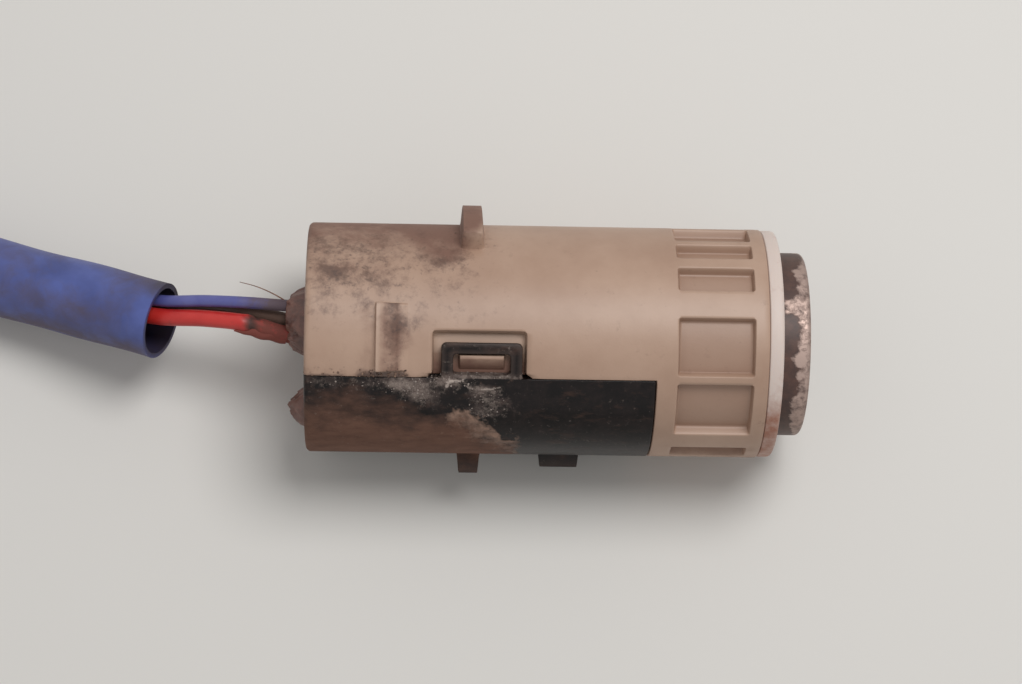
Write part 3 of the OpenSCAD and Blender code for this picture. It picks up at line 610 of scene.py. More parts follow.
def close_flats(mesh, flats, skin):
    """Puts a skin's two ends on the parting plane, which is the first flat, and fills all the flats."""
    for v in skin[0] + skin[-1]:
        r = math.hypot(v.co.x, v.co.y)
        v.co.x, v.co.y = flats[0][1], math.copysign(math.sqrt(r * r - flats[0][1] ** 2), v.co.y)
    for corner in (skin[0][0], skin[0][-1], skin[-1][0], skin[-1][-1]):
        near = [f for f in flats if on_flat(corner, f)]
        ends = [
            v for v in mesh.verts
            if v is not corner and all(on_flat(v, f) for f in near) and v.co.y * corner.co.y > 0
        ]
        mesh.edges.new((corner, max(ends, key=lambda v: abs(v.co.y))))
    for flat in flats:
        rim = [e for e in mesh.edges if len(e.link_faces) < 2 and all(on_flat(v, flat) for v in e.verts)]
        normal = Vector([1.0 if axis == flat[0] else 0.0 for axis in range(3)])
        bmesh.ops.triangle_fill(mesh, use_beauty=True, use_dissolve=False, edges=rim, normal=normal)


def from_bmesh(name, drawn, material):
    """An object made of a bmesh in metres, which is used up."""
    mesh = bpy.data.meshes.new(name)
    drawn.to_mesh(mesh)
    drawn.free()
    mesh.materials.append(material)
    return in_scene(name, mesh)


def lay_down(name, drawn, material):
    """An object made of a bmesh of the sensor's own frame, with its faces turned outwards."""
    bmesh.ops.recalc_face_normals(drawn, faces=drawn.faces)
    for v, place in zip(drawn.verts, laid([v.co for v in drawn.verts])):
        v.co = place * MM
    return from_bmesh(name, drawn, material)


# Moulded from a spark-eroded tool: a fine even grain and a soft sheen, paler where edges are rubbed. It has
# painted light in the top of the latch recess, a painted highlight on the wedge's crest and painted shade on
# the pocket floors. Road film has browned it in soft clouds 2 to 3 mm wide, with blots of about 1 mm and
# specks of grit in them.
# The grain, here and on the other plastics, is drawn coarser than the real one, so that it shows.
plastic, tree, (drift, cloud, blot, grit, grain) = start_material(
    "tan_moulded_pbt", (9, 5, 0.6), (2.8, 8, 0.62, 0.3), (1.5, 6, 0.7), (0.5, 4, 0.6), (0.22, 2)
)
smooth = {"interpolation_type": "SMOOTHSTEP"}
colour, _ = coated(tree, linear("#a38470"), "#b1937f", drift, 0.34, 0.66)
# Painted shade on the pocket floors
colour, _ = coated(tree, colour, "#917260", 0, 0, 1, marked="pocket_shade", weight=0.7)
# Paler on rubbed edges, with painted light in the top of the latch recess and on the wedge's crest
colour, _ = coated(tree, colour, "#cbb29f", 0, 0, 1, marked="edge", weight=0.3)
colour, stained = coated(tree, colour, "#6f4d40", cloud, 0.66, 1.3, 0.9, marked="film", **smooth)
colour, _ = coated(tree, colour, "#553a2e", blot, 0.62, 0.98, 0.85, marked="specks", weight=0.34, **smooth)
colour, _ = coated(tree, colour, "#3a2822", grit, 0.70, 0.92, 0.7, marked="specks", weight=0.20)
colour, muddy = coated(tree, colour, "#46322a", blot, 0.80, 1.35, 0.9, marked="soil")
finished(tree, colour, (grain, 0.25, 0.03), (muddy, 0.5, 0.12), matt=(stained, 0.46, 0.75), IOR=1.55)

spans = (*crown_pockets, *side_pockets, wedge_span, (recess_span[0],), nub_lines, (lug_half,))
edge_angles = [a for span in spans for a in span]
signed = sorted({s * a for a in edge_angles for s in (-1, 1)} | {360 - a for a in edge_angles})
ends, close = (parting_degrees, 360 - parting_degrees), wall_half / mm_per_degree
upper = lines(-ends[0], ends[0], grid_turn, [a for a in signed if -90 < a < 90], close)
lower = lines(*ends, grid_turn, [a for a in signed if 91 < a < 269], close)
trough_z = lines(0, bulkhead_z, grid_step, [*lug_z, *recess_z, *nub_z, *wedge_lines], wall_half)
trough_z = np.unique(np.round([0, *rim_steps, *trough_z[trough_z > 0.45]], 3))
collar_z = lines(bulkhead_z, housing_len, grid_step, pocket_z, wall_half)
rim_rows = [z for s in end_steps for z in (bulkhead_z + s, housing_len - s)]
collar_z = np.unique(np.round([*collar_z, *rim_rows], 3))
flats = ((0, half_gap), (2, 0.0), (2, bulkhead_z), (2, housing_len))
mesh = own_frame("housing")
keep_inside(mesh, flats)
trough = lay_skin(mesh, upper, trough_z, housing_form)
round_angles = np.concatenate([upper, lower[1:-1]])
round_angles = np.where(round_angles > 180, round_angles - 360, round_angles)
shared = {(i, 0): column[-1] for i, column in enumerate(trough)}
lay_skin(mesh, round_angles, collar_z, housing_form, shared, ring=True)
close_flats(mesh, flats, trough)
housing_piece = lay_down("housing_visual", mesh, plastic)
hand_over(housing_piece, "housing", crisp=38)

# Rear cover. Black glass-filled PBT, moulded as a thin half shell, with a loop on each side that springs over
# the housing's nub. Road dust lies on it in a film, with grit and salt along the seam and a patch of dried
# mud.
cover_len = 34.2
key_half = 5.54
key_z = (23.5, 27.5)
key_h = 1.8
loop_span = (72.4, 94)
loop_z = (13.3, 21.17)
loop_r = (10.45, 11.45)
loop_corner = 0.5
window_span = (78, 88.5)
window_z = (14.45, 20.02)
window_corner = 0.35
cover_turn = 1.4
cover_step = 0.5
tide_line = (
    (-2, 4, 9, 12.5, 13.9, 15.1, 17.3, 19.3, 20.8, 21.8, 22.3),
    (91, 92, 98, 105, 109, 111.4, 117.4, 124.6, 131.7, 150, 175),
)
tide_soft = ((0, 10, 14, 20), (26, 18, 8, 5))
salt_arch = ((91, 99), (13.75, 15.85))
salt_line = ((15.9, 17, 18.2, 19.1), (94.6, 95.7, 95.3, 94.3))
mud_h = 0.1
salt_h = 0.12
grit_patches = (
    (0.85, (94, 4), (9.2, 1.2)), (0.8, (99, 6), (11.4, 1.5)), (1.0, (91.5, 2.6), (14.3, 1.3)),
    (0.6, (95, 2.2), (17, 1.6)), (0.55, (98, 110, 6), (17.9, 2.1)), (0.35, (93, 4), (1, 13, 2)),
)


def cover_form(angle, z):
    """The cover's outside: its radius, and marks for dust, grit, dried mud, salt and rubbed edges."""
    angle, z = np.broadcast_arrays(angle, z)
    gap = np.clip(90 - np.abs(angle - 180), 0, None) * mm_per_degree
    lug = inside(angle, z, (180 - lug_half, 180 + lug_half), lug_z, lug_corner)
    key = inside(angle, z, (180 - key_half, 180 + key_half), key_z, lug_corner)
    r = body_r - rounded(z, rim_round) - rounded(cover_len - z, end_round) - rounded(gap, part_round)
    r = r + lug_h * wall(lug) + key_h * wall(key)
    # The far side is soiled like the near one, but less, and not as far forward
    near = angle <= 180
    turn = np.where(near, angle, 360 - angle)
    along = np.where(near, z, 0.8 * z + 2)
    slope = np.interp(along + 0.1, *tide_line) - np.interp(along - 0.1, *tide_line)
    tide = (turn - np.interp(along, *tide_line)) / np.hypot(1, mm_per_degree * slope / 0.2)
    tide = tide + 6 * clouds(turn, along, 2.5, 0.5)
    soft = np.interp(along, *tide_soft) + 0.5 * np.clip(turn - 120, 0, 40)
    fade = np.clip((180 - turn) / 30, 0, 1)
    dust = np.clip(tide / soft, 0, 1.3) * (1 - 0.8 * wall(lug)) * fade * np.where(near, 1, 0.7)
    mud = np.clip(1 + tide / 3, 0, 1) * np.exp(-np.clip(tide, 0, None) / 8) * stripe(along, 14.6, 20.4, 1.2)
    mud = mud * fade * np.where(near, 1, 0.5)
    arch = bell(inside(turn, along, *salt_arch, 0.5), 0.12, 0.2) * np.clip((96 - turn) / 1.5, 0, 1)
    line = bell(turn, np.interp(along, *salt_line), 0.75) * stripe(along, 16.1, 19, 0.3)
    salt = np.maximum(arch, 0.7 * line) * near * np.clip(0.75 + 1.5 * clouds(turn, along, 0.7, 4.5), 0, 1)
    grit = 0.14 + smudges(turn, along, grit_patches)
    edge = np.maximum(bell(lug, 0.1, 0.1), bell(key, 0.1, 0.1))
    lumps = np.clip(0.6 + clouds(turn, along, 1.4, 7.5), 0.1, 1.4)
    r = r + mud_h * mud * near * lumps + salt_h * salt
    return r, {"dust": dust, "grit": grit, "mud": mud, "salt": salt, "edge": edge}


def frame_outline(span, reach, corner, per_corner=5, per_side=8):
    """Points round a rounded rectangle of the surface, as angle and z."""
    middle, half_a = sum(span) / 2, (span[1] - span[0]) / 2 - corner / mm_per_degree
    centre, half_z = sum(reach) / 2, (reach[1] - reach[0]) / 2 - corner
    points = []
    for quarter, (sa, sz) in enumerate(((1, 1), (-1, 1), (-1, -1), (1, -1))):
        for t in np.radians(np.linspace(0, 90, per_corner) + 90 * quarter):
            points.append((
                middle + sa * half_a + corner / mm_per_degree * math.cos(t),
                centre + sz * half_z + corner * math.sin(t),
            ))
    whole = []
    for i, (p, q) in enumerate(zip(points, points[1:] + points[:1])):
        steps = per_side if (i + 1) % per_corner == 0 else 1
        whole += [np.array(p) + (np.array(q) - p) * k / steps for k in range(steps)]
    return np.array(whole)


def add_loop(mesh, side):
    """A latch loop with rounded edges, on one side of the cover."""
    window = frame_outline(window_span, window_z, window_corner)
    outer = frame_outline(loop_span, loop_z, loop_corner)
    low, high = loop_r
    # Across the bar, from the window at 0 to the outside at 1, and the radius there
    section = (
        (0, low), (0, high - 0.15), (0.04, high - 0.04), (0.13, high), (0.5, high), (0.87, high),
        (0.96, high - 0.04), (1, high - 0.15), (1, low), (0.5, low),
    )
    layers = {n: mesh.verts.layers.float[n] for n in ("dust", "grit", "edge")}
    rows = []
    for across, r in section:
        row = []
        for angle, z in window + (outer - window) * across:
            t = math.radians(angle)
            v = mesh.verts.new((r * math.cos(t), side * r * math.sin(t), z))
            v[layers["grit"]] = 0.22 + 0.65 * bell(angle, 90, 2.6)
            v[layers["dust"]] = 0.05
            v[layers["edge"]] = 0.8 if across in (0.04, 0.13, 0.87, 0.96) else 0.0
            row.append(v)
        rows.append(row)
    for a, b in zip(rows, rows[1:] + rows[:1]):
        for k in range(len(a)):
            mesh.faces.new((a[k - 1], a[k], b[k], b[k - 1]))


# The same plastic in black: glossy where it is clean. The dust is brown, matt and drawn out along the part,
# the grit pale and about 0.2 mm across, the mud a light crust along the dust's edge, and the salt whitish.
black, tree, (mottle, crack, fleck, grain) = start_material(
    "black_moulded_pbt", (1.7, 8, 0.7), (0.9, 8, 0.72), (0.6, 7, 0.78), (0.3, 2)
)
at = add(tree, "ShaderNodeTexCoord").outputs["Object"]
drawn_out = add(tree, "ShaderNodeMapping", {"Vector": at, "Scale": (0.5, 1, 1)}).outputs[0]
streak = {"Vector": drawn_out, "Scale": 1 / (1.4 * MM), "Detail": 8.0, "Roughness": 0.68}
streak = add(tree, "ShaderNodeTexNoise", streak).outputs[0]
earth, _ = coated(tree, linear("#46312a"), "#886555", streak, 0, 1)
colour, _ = coated(tree, linear("#100c0c"), "#372b29", mottle, 0.42, 0.72, 0.4)
colour, _ = coated(tree, colour, "#66564f", 0, 0, 1, marked="edge", weight=0.3)
colour, hazy = coated(tree, colour, earth, streak, 0.55, 1.4, 0.95, marked="dust", weight=0.75)
colour, muddy = coated(tree, colour, "#ae8e7c", crack, 0.62, 1.15, 0.85, marked="mud", weight=0.55)
colour, _ = coated(tree, colour, "#75655f", mottle, 0.70, 1.15, 0.7, marked="grit", weight=0.5)
colour, gritty = coated(tree, colour, "#a8998f", fleck, 0.64, 0.96, 0.8, marked="grit", weight=0.26)
colour, _ = coated(tree, colour, "#bfb0a6", fleck, 0.70, 1.0, 0.9, marked="salt", weight=0.6)
soiled = add(tree, "ShaderNodeMath", {0: hazy, 1: muddy}, operation="MAXIMUM").outputs[0]
soiled = add(tree, "ShaderNodeMath", {0: soiled, 1: gritty}, operation="MAXIMUM").outputs[0]
finished(
    tree, colour, (grain, 0.2, 0.03), (soiled, 0.6, 0.1), matt=(soiled, 0.3, 0.9), IOR=1.5,
    Specular_IOR_Level=0.16,
)

edges = [180 + s * half for half in (lug_half, key_half) for s in (-1, 1)]
ends = (180 - parting_degrees, 180 + parting_degrees)
angles = lines(*ends, cover_turn, edges, wall_half / mm_per_degree, np.arange(90.6, 100, 0.7))
heights = lines(0, cover_len, cover_step, [*lug_z, *key_z], wall_half, np.arange(12, 22, 0.2))
heights = [0, *rim_steps, *heights[heights > 0.45], *(cover_len - s for s in end_steps)]
heights = np.unique(np.round(heights, 3))
flats = ((0, -half_gap), (2, 0.0), (2, cover_len))
mesh = own_frame("rear_cover")
keep_inside(mesh, flats)
close_flats(mesh, flats, lay_skin(mesh, angles, heights, cover_form))
add_loop(mesh, 1)
add_loop(mesh, -1)
cover_piece = lay_down("rear_cover_visual", mesh, black)
hand_over(cover_piece, "rear_cover", crisp=38)

# Decoupling ring. Off-white silicone, moulded as a boot that is stretched over the transducer so that the
# bumper doesn't ring with it. Only its flange shows; it is drawn reddish brown in clouds, most of all on its
# lower side.
ring_profile = (
    (7.5, 35.81), (9.925, 35.81), (9.925, 45.23), (11.27, 45.23), (11.36, 45.27), (11.4, 45.36),
    (11.4, 46.25), (11.37, 46.41), (11.3, 46.53), (11.18, 46.6), (11.02, 46.63), (10.3, 46.63), (9.5, 46.63),
    (9.34, 46.58), (9.25, 46.48), (9.225, 46.36), (9.225, 41.015), (8.9, 40.7), (8.9, 40.2),
    (9.225, 39.865), (9.225, 37.21), (7.5, 37.21),
)
turned_sides = 240


def turned(profile, sides=turned_sides):
    """A profile of radius and z turned round the sensor's axis: one ring of points for each corner."""
    r, z = np.array(profile, float).T[:, :, None]
    return np.stack([r * np.cos(turns(sides)), r * np.sin(turns(sides)), z + np.zeros(sides)], axis=2)


# Silicone: light goes a little way into it, so it looks soft; a reddish brown lies over it in clouds.
rubber, tree, (cloud,) = start_material("white_silicone", (1.6, 7, 0.65))
colour, _ = coated(tree, linear("#d6c6bd"), "#955a40", cloud, 0.72, 1.3, 0.9, marked="brown_tint")
finished(
    tree, colour, (cloud, 0.25, 0.04), Roughness=0.5, IOR=1.42, Subsurface_Weight=0.15,
    Subsurface_Radius=(0.6 * MM, 0.45 * MM, 0.35 * MM), Subsurface_Scale=1.0,
)

rings = turned(ring_profile)
made = build("decoupling_ring_visual", laid(rings), bands(rings, wrap=True), rubber)
degrees = np.degrees(turns(turned_sides))
brown_tint = 0.14 + 0.55 * stripe(degrees, 112, 190, 25) + 0.22 * stripe(degrees, 190, 330, 30)
mark(made, "brown_tint", np.tile(brown_tint, (len(rings), 1)))
hand_over(made, "decoupling_ring", crisp=50)

# Transducer can. Aluminium, deep drawn, with its closed end as the sounding face. It is painted brown, and
# the paint has been knocked off along its front edge, down to bare metal.
can_r = 9.2
can_z = (37.24, 49.53)
can_in_r = 7.9
can_face = 0.9
can_round = 0.5
wear_line = (
    (0, 10, 19, 27, 40, 44, 51, 55, 63, 75, 78, 82,
     86, 101, 104, 136, 141, 160, 200, 230, 270, 300, 330, 360),
    (48.8, 48.9, 48.2, 48.0, 48.0, 47.0, 47.0, 48.2, 48.4, 48.3, 47.8, 47.9,
     48.35, 48.35, 47.9, 48.1, 48.6, 48.9, 48.3, 48.8, 48.5, 48.1, 48.7, 48.8),
)
bare_spots = ((0.8, (19, 3), (48.3, 0.4)), (0.5, (79, 4), (48.6, 0.5)))
face_in = can_z[1] - can_face
front_edge = [
    (can_r - can_round * (1 - math.cos(t)), can_z[1] - can_round * (1 - math.sin(t)))
    for t in np.radians(np.linspace(0, 90, 9))
]
can_profile = [
    (0.4, face_in), (can_in_r - 0.3, face_in), (can_in_r, face_in - 0.3), (can_in_r, can_z[0]),
    (can_r, can_z[0]), (can_r, 39.84), (8.85, 40.19), (8.85, 40.69), (can_r, 41.04), (can_r, 45.5),
    *((can_r, z) for z in np.arange(46.2, can_z[1] - can_round - 0.1, 0.15)), *front_edge,
    *((r, can_z[1]) for r in (8.4, 8.0, 7.4, 6.5, 5, 3.2, 1.6, 0.4)),
]

# Brown baked paint, thin and slightly uneven. Where it is gone, the metal lies a little lower and is dull
# and pinkish with dust.
paint, tree, (mottle, chip) = start_material(
    "brown_paint_on_aluminium", (1.3, 8, 0.7), (0.8, 8, 0.72, 0.3)
)
colour, _ = coated(tree, linear("#35211b"), "#55392f", mottle, 0.35, 0.65)
colour, bare = coated(tree, colour, "#b09a90", chip, 0.70, 0.95, 0.9, marked="worn", weight=0.42)
metal = add(tree, "ShaderNodeMath", {0: bare, 1: 0.85}, operation="MULTIPLY").outputs[0]
finished(tree, colour, (bare, 0.6, 0.06), sunk=True, Metallic=metal, Roughness=0.5, IOR=1.5)

rings = turned(can_profile)
made = build("transducer_can_visual", laid(rings), capped(rings), paint)
radius, along = np.array(can_profile).T[:, :, None]
border = np.interp(degrees, *wear_line) + 0.5 * clouds(degrees, along, 1.5, 2.5)
worn = np.clip(0.5 + (along - border) / 0.45, 0, 1) * np.clip((radius - 8.2) / 0.5, 0, 1)
mark(made, "worn", 0.1 + 0.85 * worn + smudges(degrees, along, bare_spots) * (radius > 9))
hand_over(made, "transducer_can", crisp=40)

# Sealing resin. Two-part brown epoxy, poured in from the rear after the board and drawn up round the wires
# in a lumpy mound; a drip stands beside it. It grips the wires and makes the sensor watertight.
resin_r = 9.47
resin_z = (0.5, 2.9)
mound_at = (1.5, -0.55)
mound_rise = ((0, 1.4, 1.9, 2.4, 3.05, 3.55, 3.8, 4.3), (2.7, 2.7, 2.6, 2.2, 1.54, 0.66, 0.22, 0))
drip_at = (-6.2, 3.2)
drip_h = 2.1
drip_foot = 2.3
most_rise = 2.7
lump_h = 0.5
meniscus = 0.18
meniscus_from = 9.0
resin_core = 0.15
resin_sides = 160
rim_rings = (9.2, 9.33, 9.42, resin_r)
resin_rings = np.concatenate([np.linspace(resin_core, meniscus_from, 60), rim_rings])[:, None]

# Cast epoxy with a satin, uneven skin: brown, with darker seams and a pale bloom.
epoxy, tree, (cloud,) = start_material("brown_epoxy_resin", (1.5, 8, 0.65, 0.5))
colour, _ = coated(tree, linear("#4a302a"), "#83594c", cloud, 0.32, 0.68)
finished(tree, colour, (cloud, 0.6, 0.15), Roughness=0.45, IOR=1.54)

x, y = resin_rings * np.cos(turns(resin_sides)), resin_rings * np.sin(turns(resin_sides))
rise = np.interp(np.hypot(x - mound_at[0], y - mound_at[1]), *mound_rise)
drip = np.clip(1 - ((x - drip_at[0]) ** 2 + (y - drip_at[1]) ** 2) / drip_foot**2, 0, None) ** 0.8
rise = np.maximum(rise, drip_h * drip)
lumps = [noise.fractal(Vector((p, q, 3.0)) * 0.8, 0.7, 2.2, 5) for p, q in zip(x.flat, y.flat)]
rise = rise + lump_h * np.reshape(lumps, x.shape) * np.clip(rise / 0.8, 0.1, 1)
drawn_up = np.clip((resin_rings - meniscus_from) / (resin_r - meniscus_from), 0, 1) ** 2
rise = np.minimum(rise, most_rise) + meniscus * drawn_up
rear = np.stack([x, y, resin_z[0] - rise], axis=2)
rings = np.concatenate([rear, turned([(resin_r, resin_z[1]), (resin_core, resin_z[1])], resin_sides)])
made = build("sealing_resin_visual", laid(rings), capped(rings), epoxy)
hand_over(made, "sealing_resin")

# Inside parts. The transducer's and the board's parts are closed in by the housing and the resin, and the
# plug's terminals, seals and lock show only in its openings. They stay as the source has them, and each
# gets what it is made of as its material.
sheen_drift = 0.12
inside_finishes = (
    # Node, material, darker and paler tone, roughness, metallic, size of its patches and relief in mm;
    # the patches of the finest grains are drawn coarser than the real ones, so that they show
    # Sintered lead zirconate, lapped flat: a fine grey-yellow ceramic with a dull fired-silver bloom
    ("piezo_disc", "sintered_piezo_ceramic", "#a89f7c", "#c2b893", 0.6, 0.0, 0.4, 0.02),
    # Open-cell foam, cut from sheet: dark pores about 0.5 mm wide
    ("damping_foam", "open_cell_pu_foam", "#2f2d2c", "#565250", 0.95, 0.0, 0.5, 0.2),
    # Poured silicone, slightly cloudy
    ("can_backing", "poured_silicone", "#b9b3a8", "#cfc9bf", 0.5, 0.0, 1.5, 0.03),
    # Tinned copper wire, drawn: bright with a faint grey bloom
    ("transducer_leads", "tinned_copper_wire", "#a7a39b", "#cbc7bf", 0.35, 1.0, 0.8, 0.01),
    # Glass-epoxy laminate under green solder mask, with the weave just showing
    ("circuit_board", "green_masked_laminate", "#1f4a2f", "#2c5e3d", 0.4, 0.0, 0.6, 0.02),
    # Pressed and fired ferrite: dark grey, matt, with tiny pits
    ("transformer_core", "fired_ferrite", "#2b2a2b", "#434143", 0.7, 0.0, 0.3, 0.03),
    # Enamelled copper wire, wound close
    ("transformer_winding", "enamelled_copper", "#8a4a26", "#b2683a", 0.35, 0.6, 0.3, 0.04),
    # Transfer-moulded epoxy: black and finely matt
    ("driver_chip", "moulded_chip_epoxy", "#151516", "#262627", 0.6, 0.0, 0.2, 0.02),
    # Drawn aluminium can, lightly brushed
    ("electrolytic_capacitor", "drawn_aluminium", "#a9abae", "#c9cbce", 0.4, 1.0, 0.5, 0.01),
    # Fired barium titanate: tan, slightly glossy
    ("chip_capacitors", "fired_chip_ceramic", "#9a7c56", "#b59468", 0.45, 0.0, 0.3, 0.01),
    # Printed resistor under black glaze
    ("chip_resistors", "glazed_chip_resistor", "#17181a", "#2c2d30", 0.3, 0.0, 0.3, 0.01),
    # Reflowed solder: bright, faintly frosted
    ("solder_joints", "reflowed_solder", "#9fa0a2", "#c4c5c7", 0.35, 1.0, 0.4, 0.02),
    # Stamped brass strip with a tin coat
    ("plug_terminals", "tinned_brass", "#a8a49a", "#c8c4b9", 0.35, 1.0, 0.5, 0.01),
    # Moulded silicone, coloured green so that a missing seal shows
    ("wire_seals", "green_silicone", "#3f7b52", "#5a946b", 0.5, 0.0, 1.2, 0.03),
    ("plug_face_seal", "green_silicone", "#3f7b52", "#5a946b", 0.5, 0.0, 1.2, 0.03),
    # Moulded polypropylene, left natural: cream, a little waxy
    ("plug_lock", "cream_polypropylene", "#c9bd9d", "#dbd1b5", 0.45, 0.0, 2.0, 0.02),
)
for node, title, deep, pale, rough, metallic, patch, relief in inside_finishes:
    finish = bpy.data.materials.get(title)
    if not finish:
        finish, tree, (cloud,) = start_material(title, (patch, 5))
        colour, _ = coated(tree, linear(deep), pale, cloud, 0.35, 0.65)
        matt = (cloud, rough - sheen_drift, rough + sheen_drift)
        finished(tree, colour, (cloud, 0.5, relief), matt=matt, Metallic=metallic)
    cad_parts[node].material_slots[0].material = finish

# Plug housing. Black glass-filled PBT, moulded, with three ways and a latch arm between two guard walls on
# top. The tool eases its edges: a little on the arm and the walls, more round its two ends.
plug_top = 9.6
plug_front = -166
arm_ease = 0.18
rim_ease = 0.3
plug_ends = ((plug_rear, 7.5, 4.8), (plug_front, 6.1, 3.4))

# The plug was kept off the road: the same black plastic, clean, satin from a fine spark-eroded grain.
plug_black, tree, (dusting, grain) = start_material("black_connector_pbt", (2.5, 8, 0.7), (0.25, 2))
colour, dusted = coated(tree, linear("#181617"), "#4b413c", dusting, 0.45, 0.8, 0.5)
finished(tree, colour, (grain, 0.3, 0.03), matt=(dusted, 0.36, 0.7), IOR=1.5, Specular_IOR_Level=0.3)


def on_rim(v):
    """Whether a point of the plug lies on the outer edge of one of its two end faces."""
    x, y, z = v.co / MM
    return any(
        abs(x - end) < 0.01 and max(abs(y - plug_mid) / half_w, abs(z - way_height) / half_h) > 0.93
        for end, half_w, half_h in plug_ends
    )


mesh = bmesh.new()
mesh.from_mesh(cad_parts["plug_housing"].data)
bmesh.ops.remove_doubles(mesh, verts=mesh.verts, dist=0.001 * MM)
bmesh.ops.dissolve_limit(mesh, angle_limit=math.radians(1), verts=mesh.verts, edges=mesh.edges)
sharp = [e for e in mesh.edges if e.is_manifold and e.calc_face_angle() > math.radians(30)]
arm_edges = [e for e in sharp if max(v.co.z for v in e.verts) > (plug_top + 0.1) * MM]
rim_edges = [e for e in sharp if all(on_rim(v) for v in e.verts)]
for edges, ease in ((arm_edges, arm_ease), (rim_edges, rim_ease)):
    bmesh.ops.bevel(
        mesh, geom=edges, offset=ease * MM, offset_type="OFFSET", segments=3, profile=0.5, affect="EDGES",
        clamp_overlap=False,
    )
plug_piece = from_bmesh("plug_housing_visual", mesh, plug_black)
hand_over(plug_piece, "plug_housing", crisp=30)

# Grip ribs. Half-round bars moulded across the thumb end of the plug's latch arm, so that it can be pressed
# with wet fingers: a line of points along the arm carries one bar each.
arm_top = 12.0
rib_x = (-146, -150.2)
rib_count = 7
rib_len = 4.2
rib_r = 0.26


def new_tree(name, sizes):
    """A Geometry Nodes tree with named inputs, and the outputs of its input node; sizes gives their kinds."""
    tree = bpy.data.node_groups.new(name, "GeometryNodeTree")
    tree.interface.new_socket("Geometry", in_out="INPUT", socket_type="NodeSocketGeometry")
    for label, kind in sizes.items():
        tree.interface.new_socket(label, in_out="INPUT", socket_type="NodeSocket" + kind)
    tree.interface.new_socket("Material", in_out="INPUT", socket_type="NodeSocketMaterial")
    tree.interface.new_socket("Geometry", in_out="OUTPUT", socket_type="NodeSocketGeometry")
    return tree, add(tree, "NodeGroupInput").outputs


def end_tree(tree, given, put):
    """Ends a tree: its instances are made real and get the material."""
    real = add(tree, "GeometryNodeRealizeInstances", {"Geometry": put.outputs[0]}).outputs[0]
    painted = add(tree, "GeometryNodeSetMaterial", {"Geometry": real, "Material": given["Material"]})
    add(tree, "NodeGroupOutput", {0: painted.outputs[0]})


def grown(name, tree, base, **values):
    """The mesh that a tree grows on a base mesh, as a plain piece."""
    carrier = in_scene(name + "_carrier", base)
    growth = carrier.modifiers.new("growth", "NODES")
    growth.node_group = tree
    for socket in tree.interface.items_tree:
        if socket.in_out == "INPUT" and socket.name in values:
            growth[socket.identifier] = values[socket.name]
    seen = carrier.evaluated_get(bpy.context.evaluated_depsgraph_get())
    mesh = bpy.data.meshes.new_from_object(seen)
    carrier.modifiers.remove(growth)
    bpy.data.objects.remove(carrier)
    mesh.name = name
    return in_scene(name, mesh)


rib_tree, given = new_tree(
    "grip_ribs", {"First": "Vector", "Last": "Vector", "Count": "Int", "Radius": "Float", "Length": "Float"}
)
row = {"Count": given["Count"], "Start Location": given["First"], "Offset": given["Last"]}
row = add(rib_tree, "GeometryNodeMeshLine", row, mode="END_POINTS").outputs[0]
bar = {"Vertices": 12, "Side Segments": 1, "Radius": given["Radius"], "Depth": given["Length"]}
bar = add(rib_tree, "GeometryNodeMeshCylinder", bar).outputs["Mesh"]
put = {"Points": row, "Instance": bar, "Rotation": (math.pi / 2, 0, 0)}
end_tree(rib_tree, given, add(rib_tree, "GeometryNodeInstanceOnPoints", put))
first, last = [Vector((x, plug_mid, arm_top)) * MM for x in rib_x]
made = grown(
    "plug_grip_ribs", rib_tree, bpy.data.meshes.new("empty"), First=first, Last=last, Count=rib_count,
    Radius=rib_r * MM, Length=rib_len * MM, Material=plug_black,
)
hand_over(made, crisp=40)

# Crumbs. Dried soil and road salt, loose grains caught along the seam and in the corners: scattered where the
# housing's and the cover's own marks are strong, each a lumpy grain of one to three tenths of a millimetre.
crumb_kinds = (
    # Name, darker and paler tone, the piece that carries it, its slot, and its scatter
    ("dried_road_salt", "#5f524c", "#a3968e", cover_piece, "cover_plastic",
     dict(Mark="grit", Density=1.6e7, Threshold=0.36, Smallest=0.03 * MM, Largest=0.11 * MM, Seed=4)),
    ("dried_brown_soil", "#3b2a24", "#8d7262", housing_piece, "housing_plastic",
     dict(Mark="soil", Density=2.2e7, Threshold=0.25, Smallest=0.05 * MM, Largest=0.16 * MM, Seed=9)),
)
flattest, fullest = (0.6, 0.6, 0.4), (1.3, 1.3, 0.8)
crumb_tree, given = new_tree("crumbs", {
    "Mark": "String", "Density": "Float", "Threshold": "Float", "Smallest": "Float", "Largest": "Float",
    "Seed": "Int",
})
named = {"Name": given["Mark"]}
named = add(crumb_tree, "GeometryNodeInputNamedAttribute", named, data_type="FLOAT").outputs["Attribute"]
above = {0: named, 1: given["Threshold"]}
above = add(crumb_tree, "ShaderNodeMath", above, operation="SUBTRACT", use_clamp=True).outputs[0]
spread = {0: above, 1: given["Density"]}
spread = add(crumb_tree, "ShaderNodeMath", spread, operation="MULTIPLY").outputs[0]
strewn = {"Mesh": given["Geometry"], "Density": spread, "Seed": given["Seed"]}
strewn = add(crumb_tree, "GeometryNodeDistributePointsOnFaces", strewn).outputs
lump = add(crumb_tree, "GeometryNodeMeshIcoSphere", {"Radius": 1.0, "Subdivisions": 1}).outputs["Mesh"]
stretch = {0: flattest, 1: fullest, "Seed": given["Seed"]}
stretch = add(crumb_tree, "FunctionNodeRandomValue", stretch, data_type="FLOAT_VECTOR").outputs[0]
size = {2: given["Smallest"], 3: given["Largest"], "Seed": given["Seed"]}
size = add(crumb_tree, "FunctionNodeRandomValue", size, data_type="FLOAT").outputs[1]
scale = add(crumb_tree, "ShaderNodeVectorMath", {0: stretch, "Scale": size}, operation="SCALE").outputs[0]
put = {"Points": strewn["Points"], "Instance": lump, "Rotation": strewn["Rotation"], "Scale": scale}
end_tree(crumb_tree, given, add(crumb_tree, "GeometryNodeInstanceOnPoints", put))

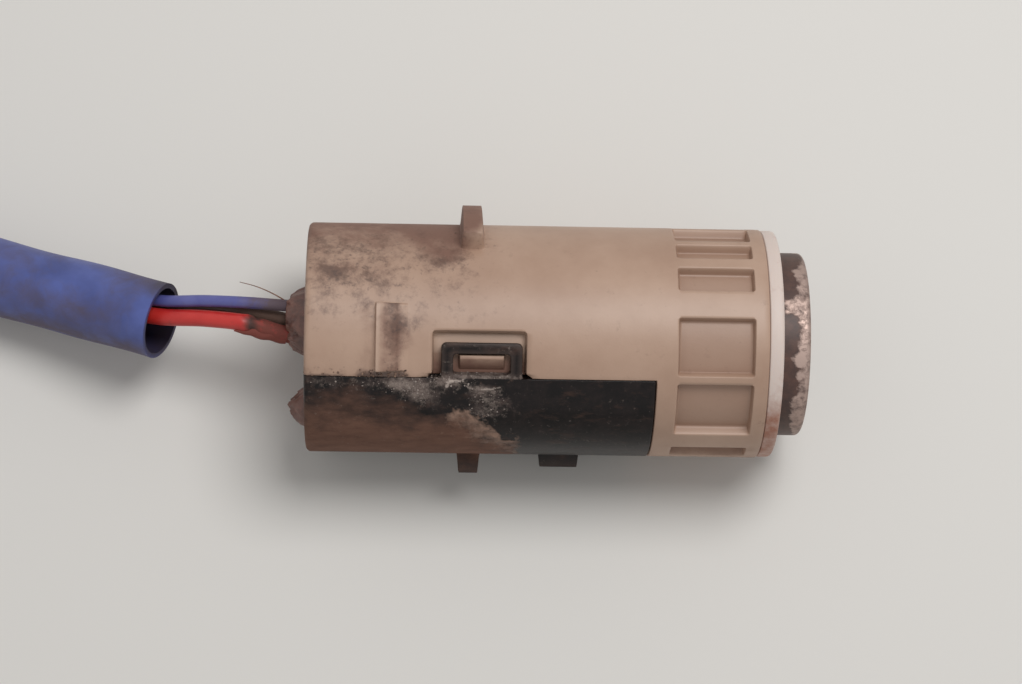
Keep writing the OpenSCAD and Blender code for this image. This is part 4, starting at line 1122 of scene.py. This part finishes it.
for title, deep, pale, base, slot, scatter in crumb_kinds:
    # Dried soil or salt: matt and broken, from a dark to a pale tone within half a millimetre.
    grains, tree, (cloud,) = start_material(title, (0.5, 3))
    colour, _ = coated(tree, linear(deep), pale, cloud, 0.35, 0.65)
    finished(tree, colour, (cloud, 0.5, 0.03), Roughness=0.9)
    made = grown(title, crumb_tree, base.data, Material=grains, **scatter)
    hand_over(made, crisp=50)

# Loose ends. A hair of copper that sprang out of the blue wire's strands, and a strip of the red wire's
# insulation that was torn off at the nick; it lies under the wire, caked with dirt.
strand_route = (
    (-25.6, 3.1, 12.75), (-26.3, 3.5, 12.95), (-27.6, 4.15, 13.15), (-29, 4.7, 13.2), (-30.6, 5.15, 13.05),
)
strand_r = 0.07
strand_tip = 0.45
strand_sides = 8
sliver_route = (
    (-25.8, -0.3, 11.9), (-27, -0.12, 12), (-28.3, 0.15, 12), (-29.6, 0.36, 11.9), (-31.1, 0.42, 11.8),
)
sliver_width = ((0, 0.3, 0.6, 0.8, 1), (0.6, 0.62, 0.58, 0.36, 0.06))
sliver_sides = 12
sliver_grime = 0.9

# Drawn copper, tarnished brown along most of its length.
copper, tree, (cloud,) = start_material("tarnished_copper", (0.8, 4))
colour, _ = coated(tree, linear("#3f2a22"), "#8a5a44", cloud, 0, 1)
finished(tree, colour, Roughness=0.45, Metallic=0.8)
path = smooth_route(strand_route, 0.3)
rings = swept(path, strand_r * np.linspace(1, strand_tip, len(path))[:, None], strand_sides)
made = build("loose_strand", rings, capped(rings), copper)
hand_over(made)

path = smooth_route(sliver_route, 0.2)
t, around = np.linspace(0, 1, len(path))[:, None], turns(sliver_sides)
width = np.interp(t, *sliver_width) * (0.8 + 0.2 * np.cos(around) ** 2)
rings = swept(path, width * (1 + 0.12 * np.sin(17 * t + 2 * around)), sliver_sides)
made = build("torn_sliver", rings, capped(rings), bpy.data.materials["red_pvc_insulation"])
mark(made, "grime", np.full(width.shape, sliver_grime))
mark(made, "cut", np.zeros(width.shape))
hand_over(made)
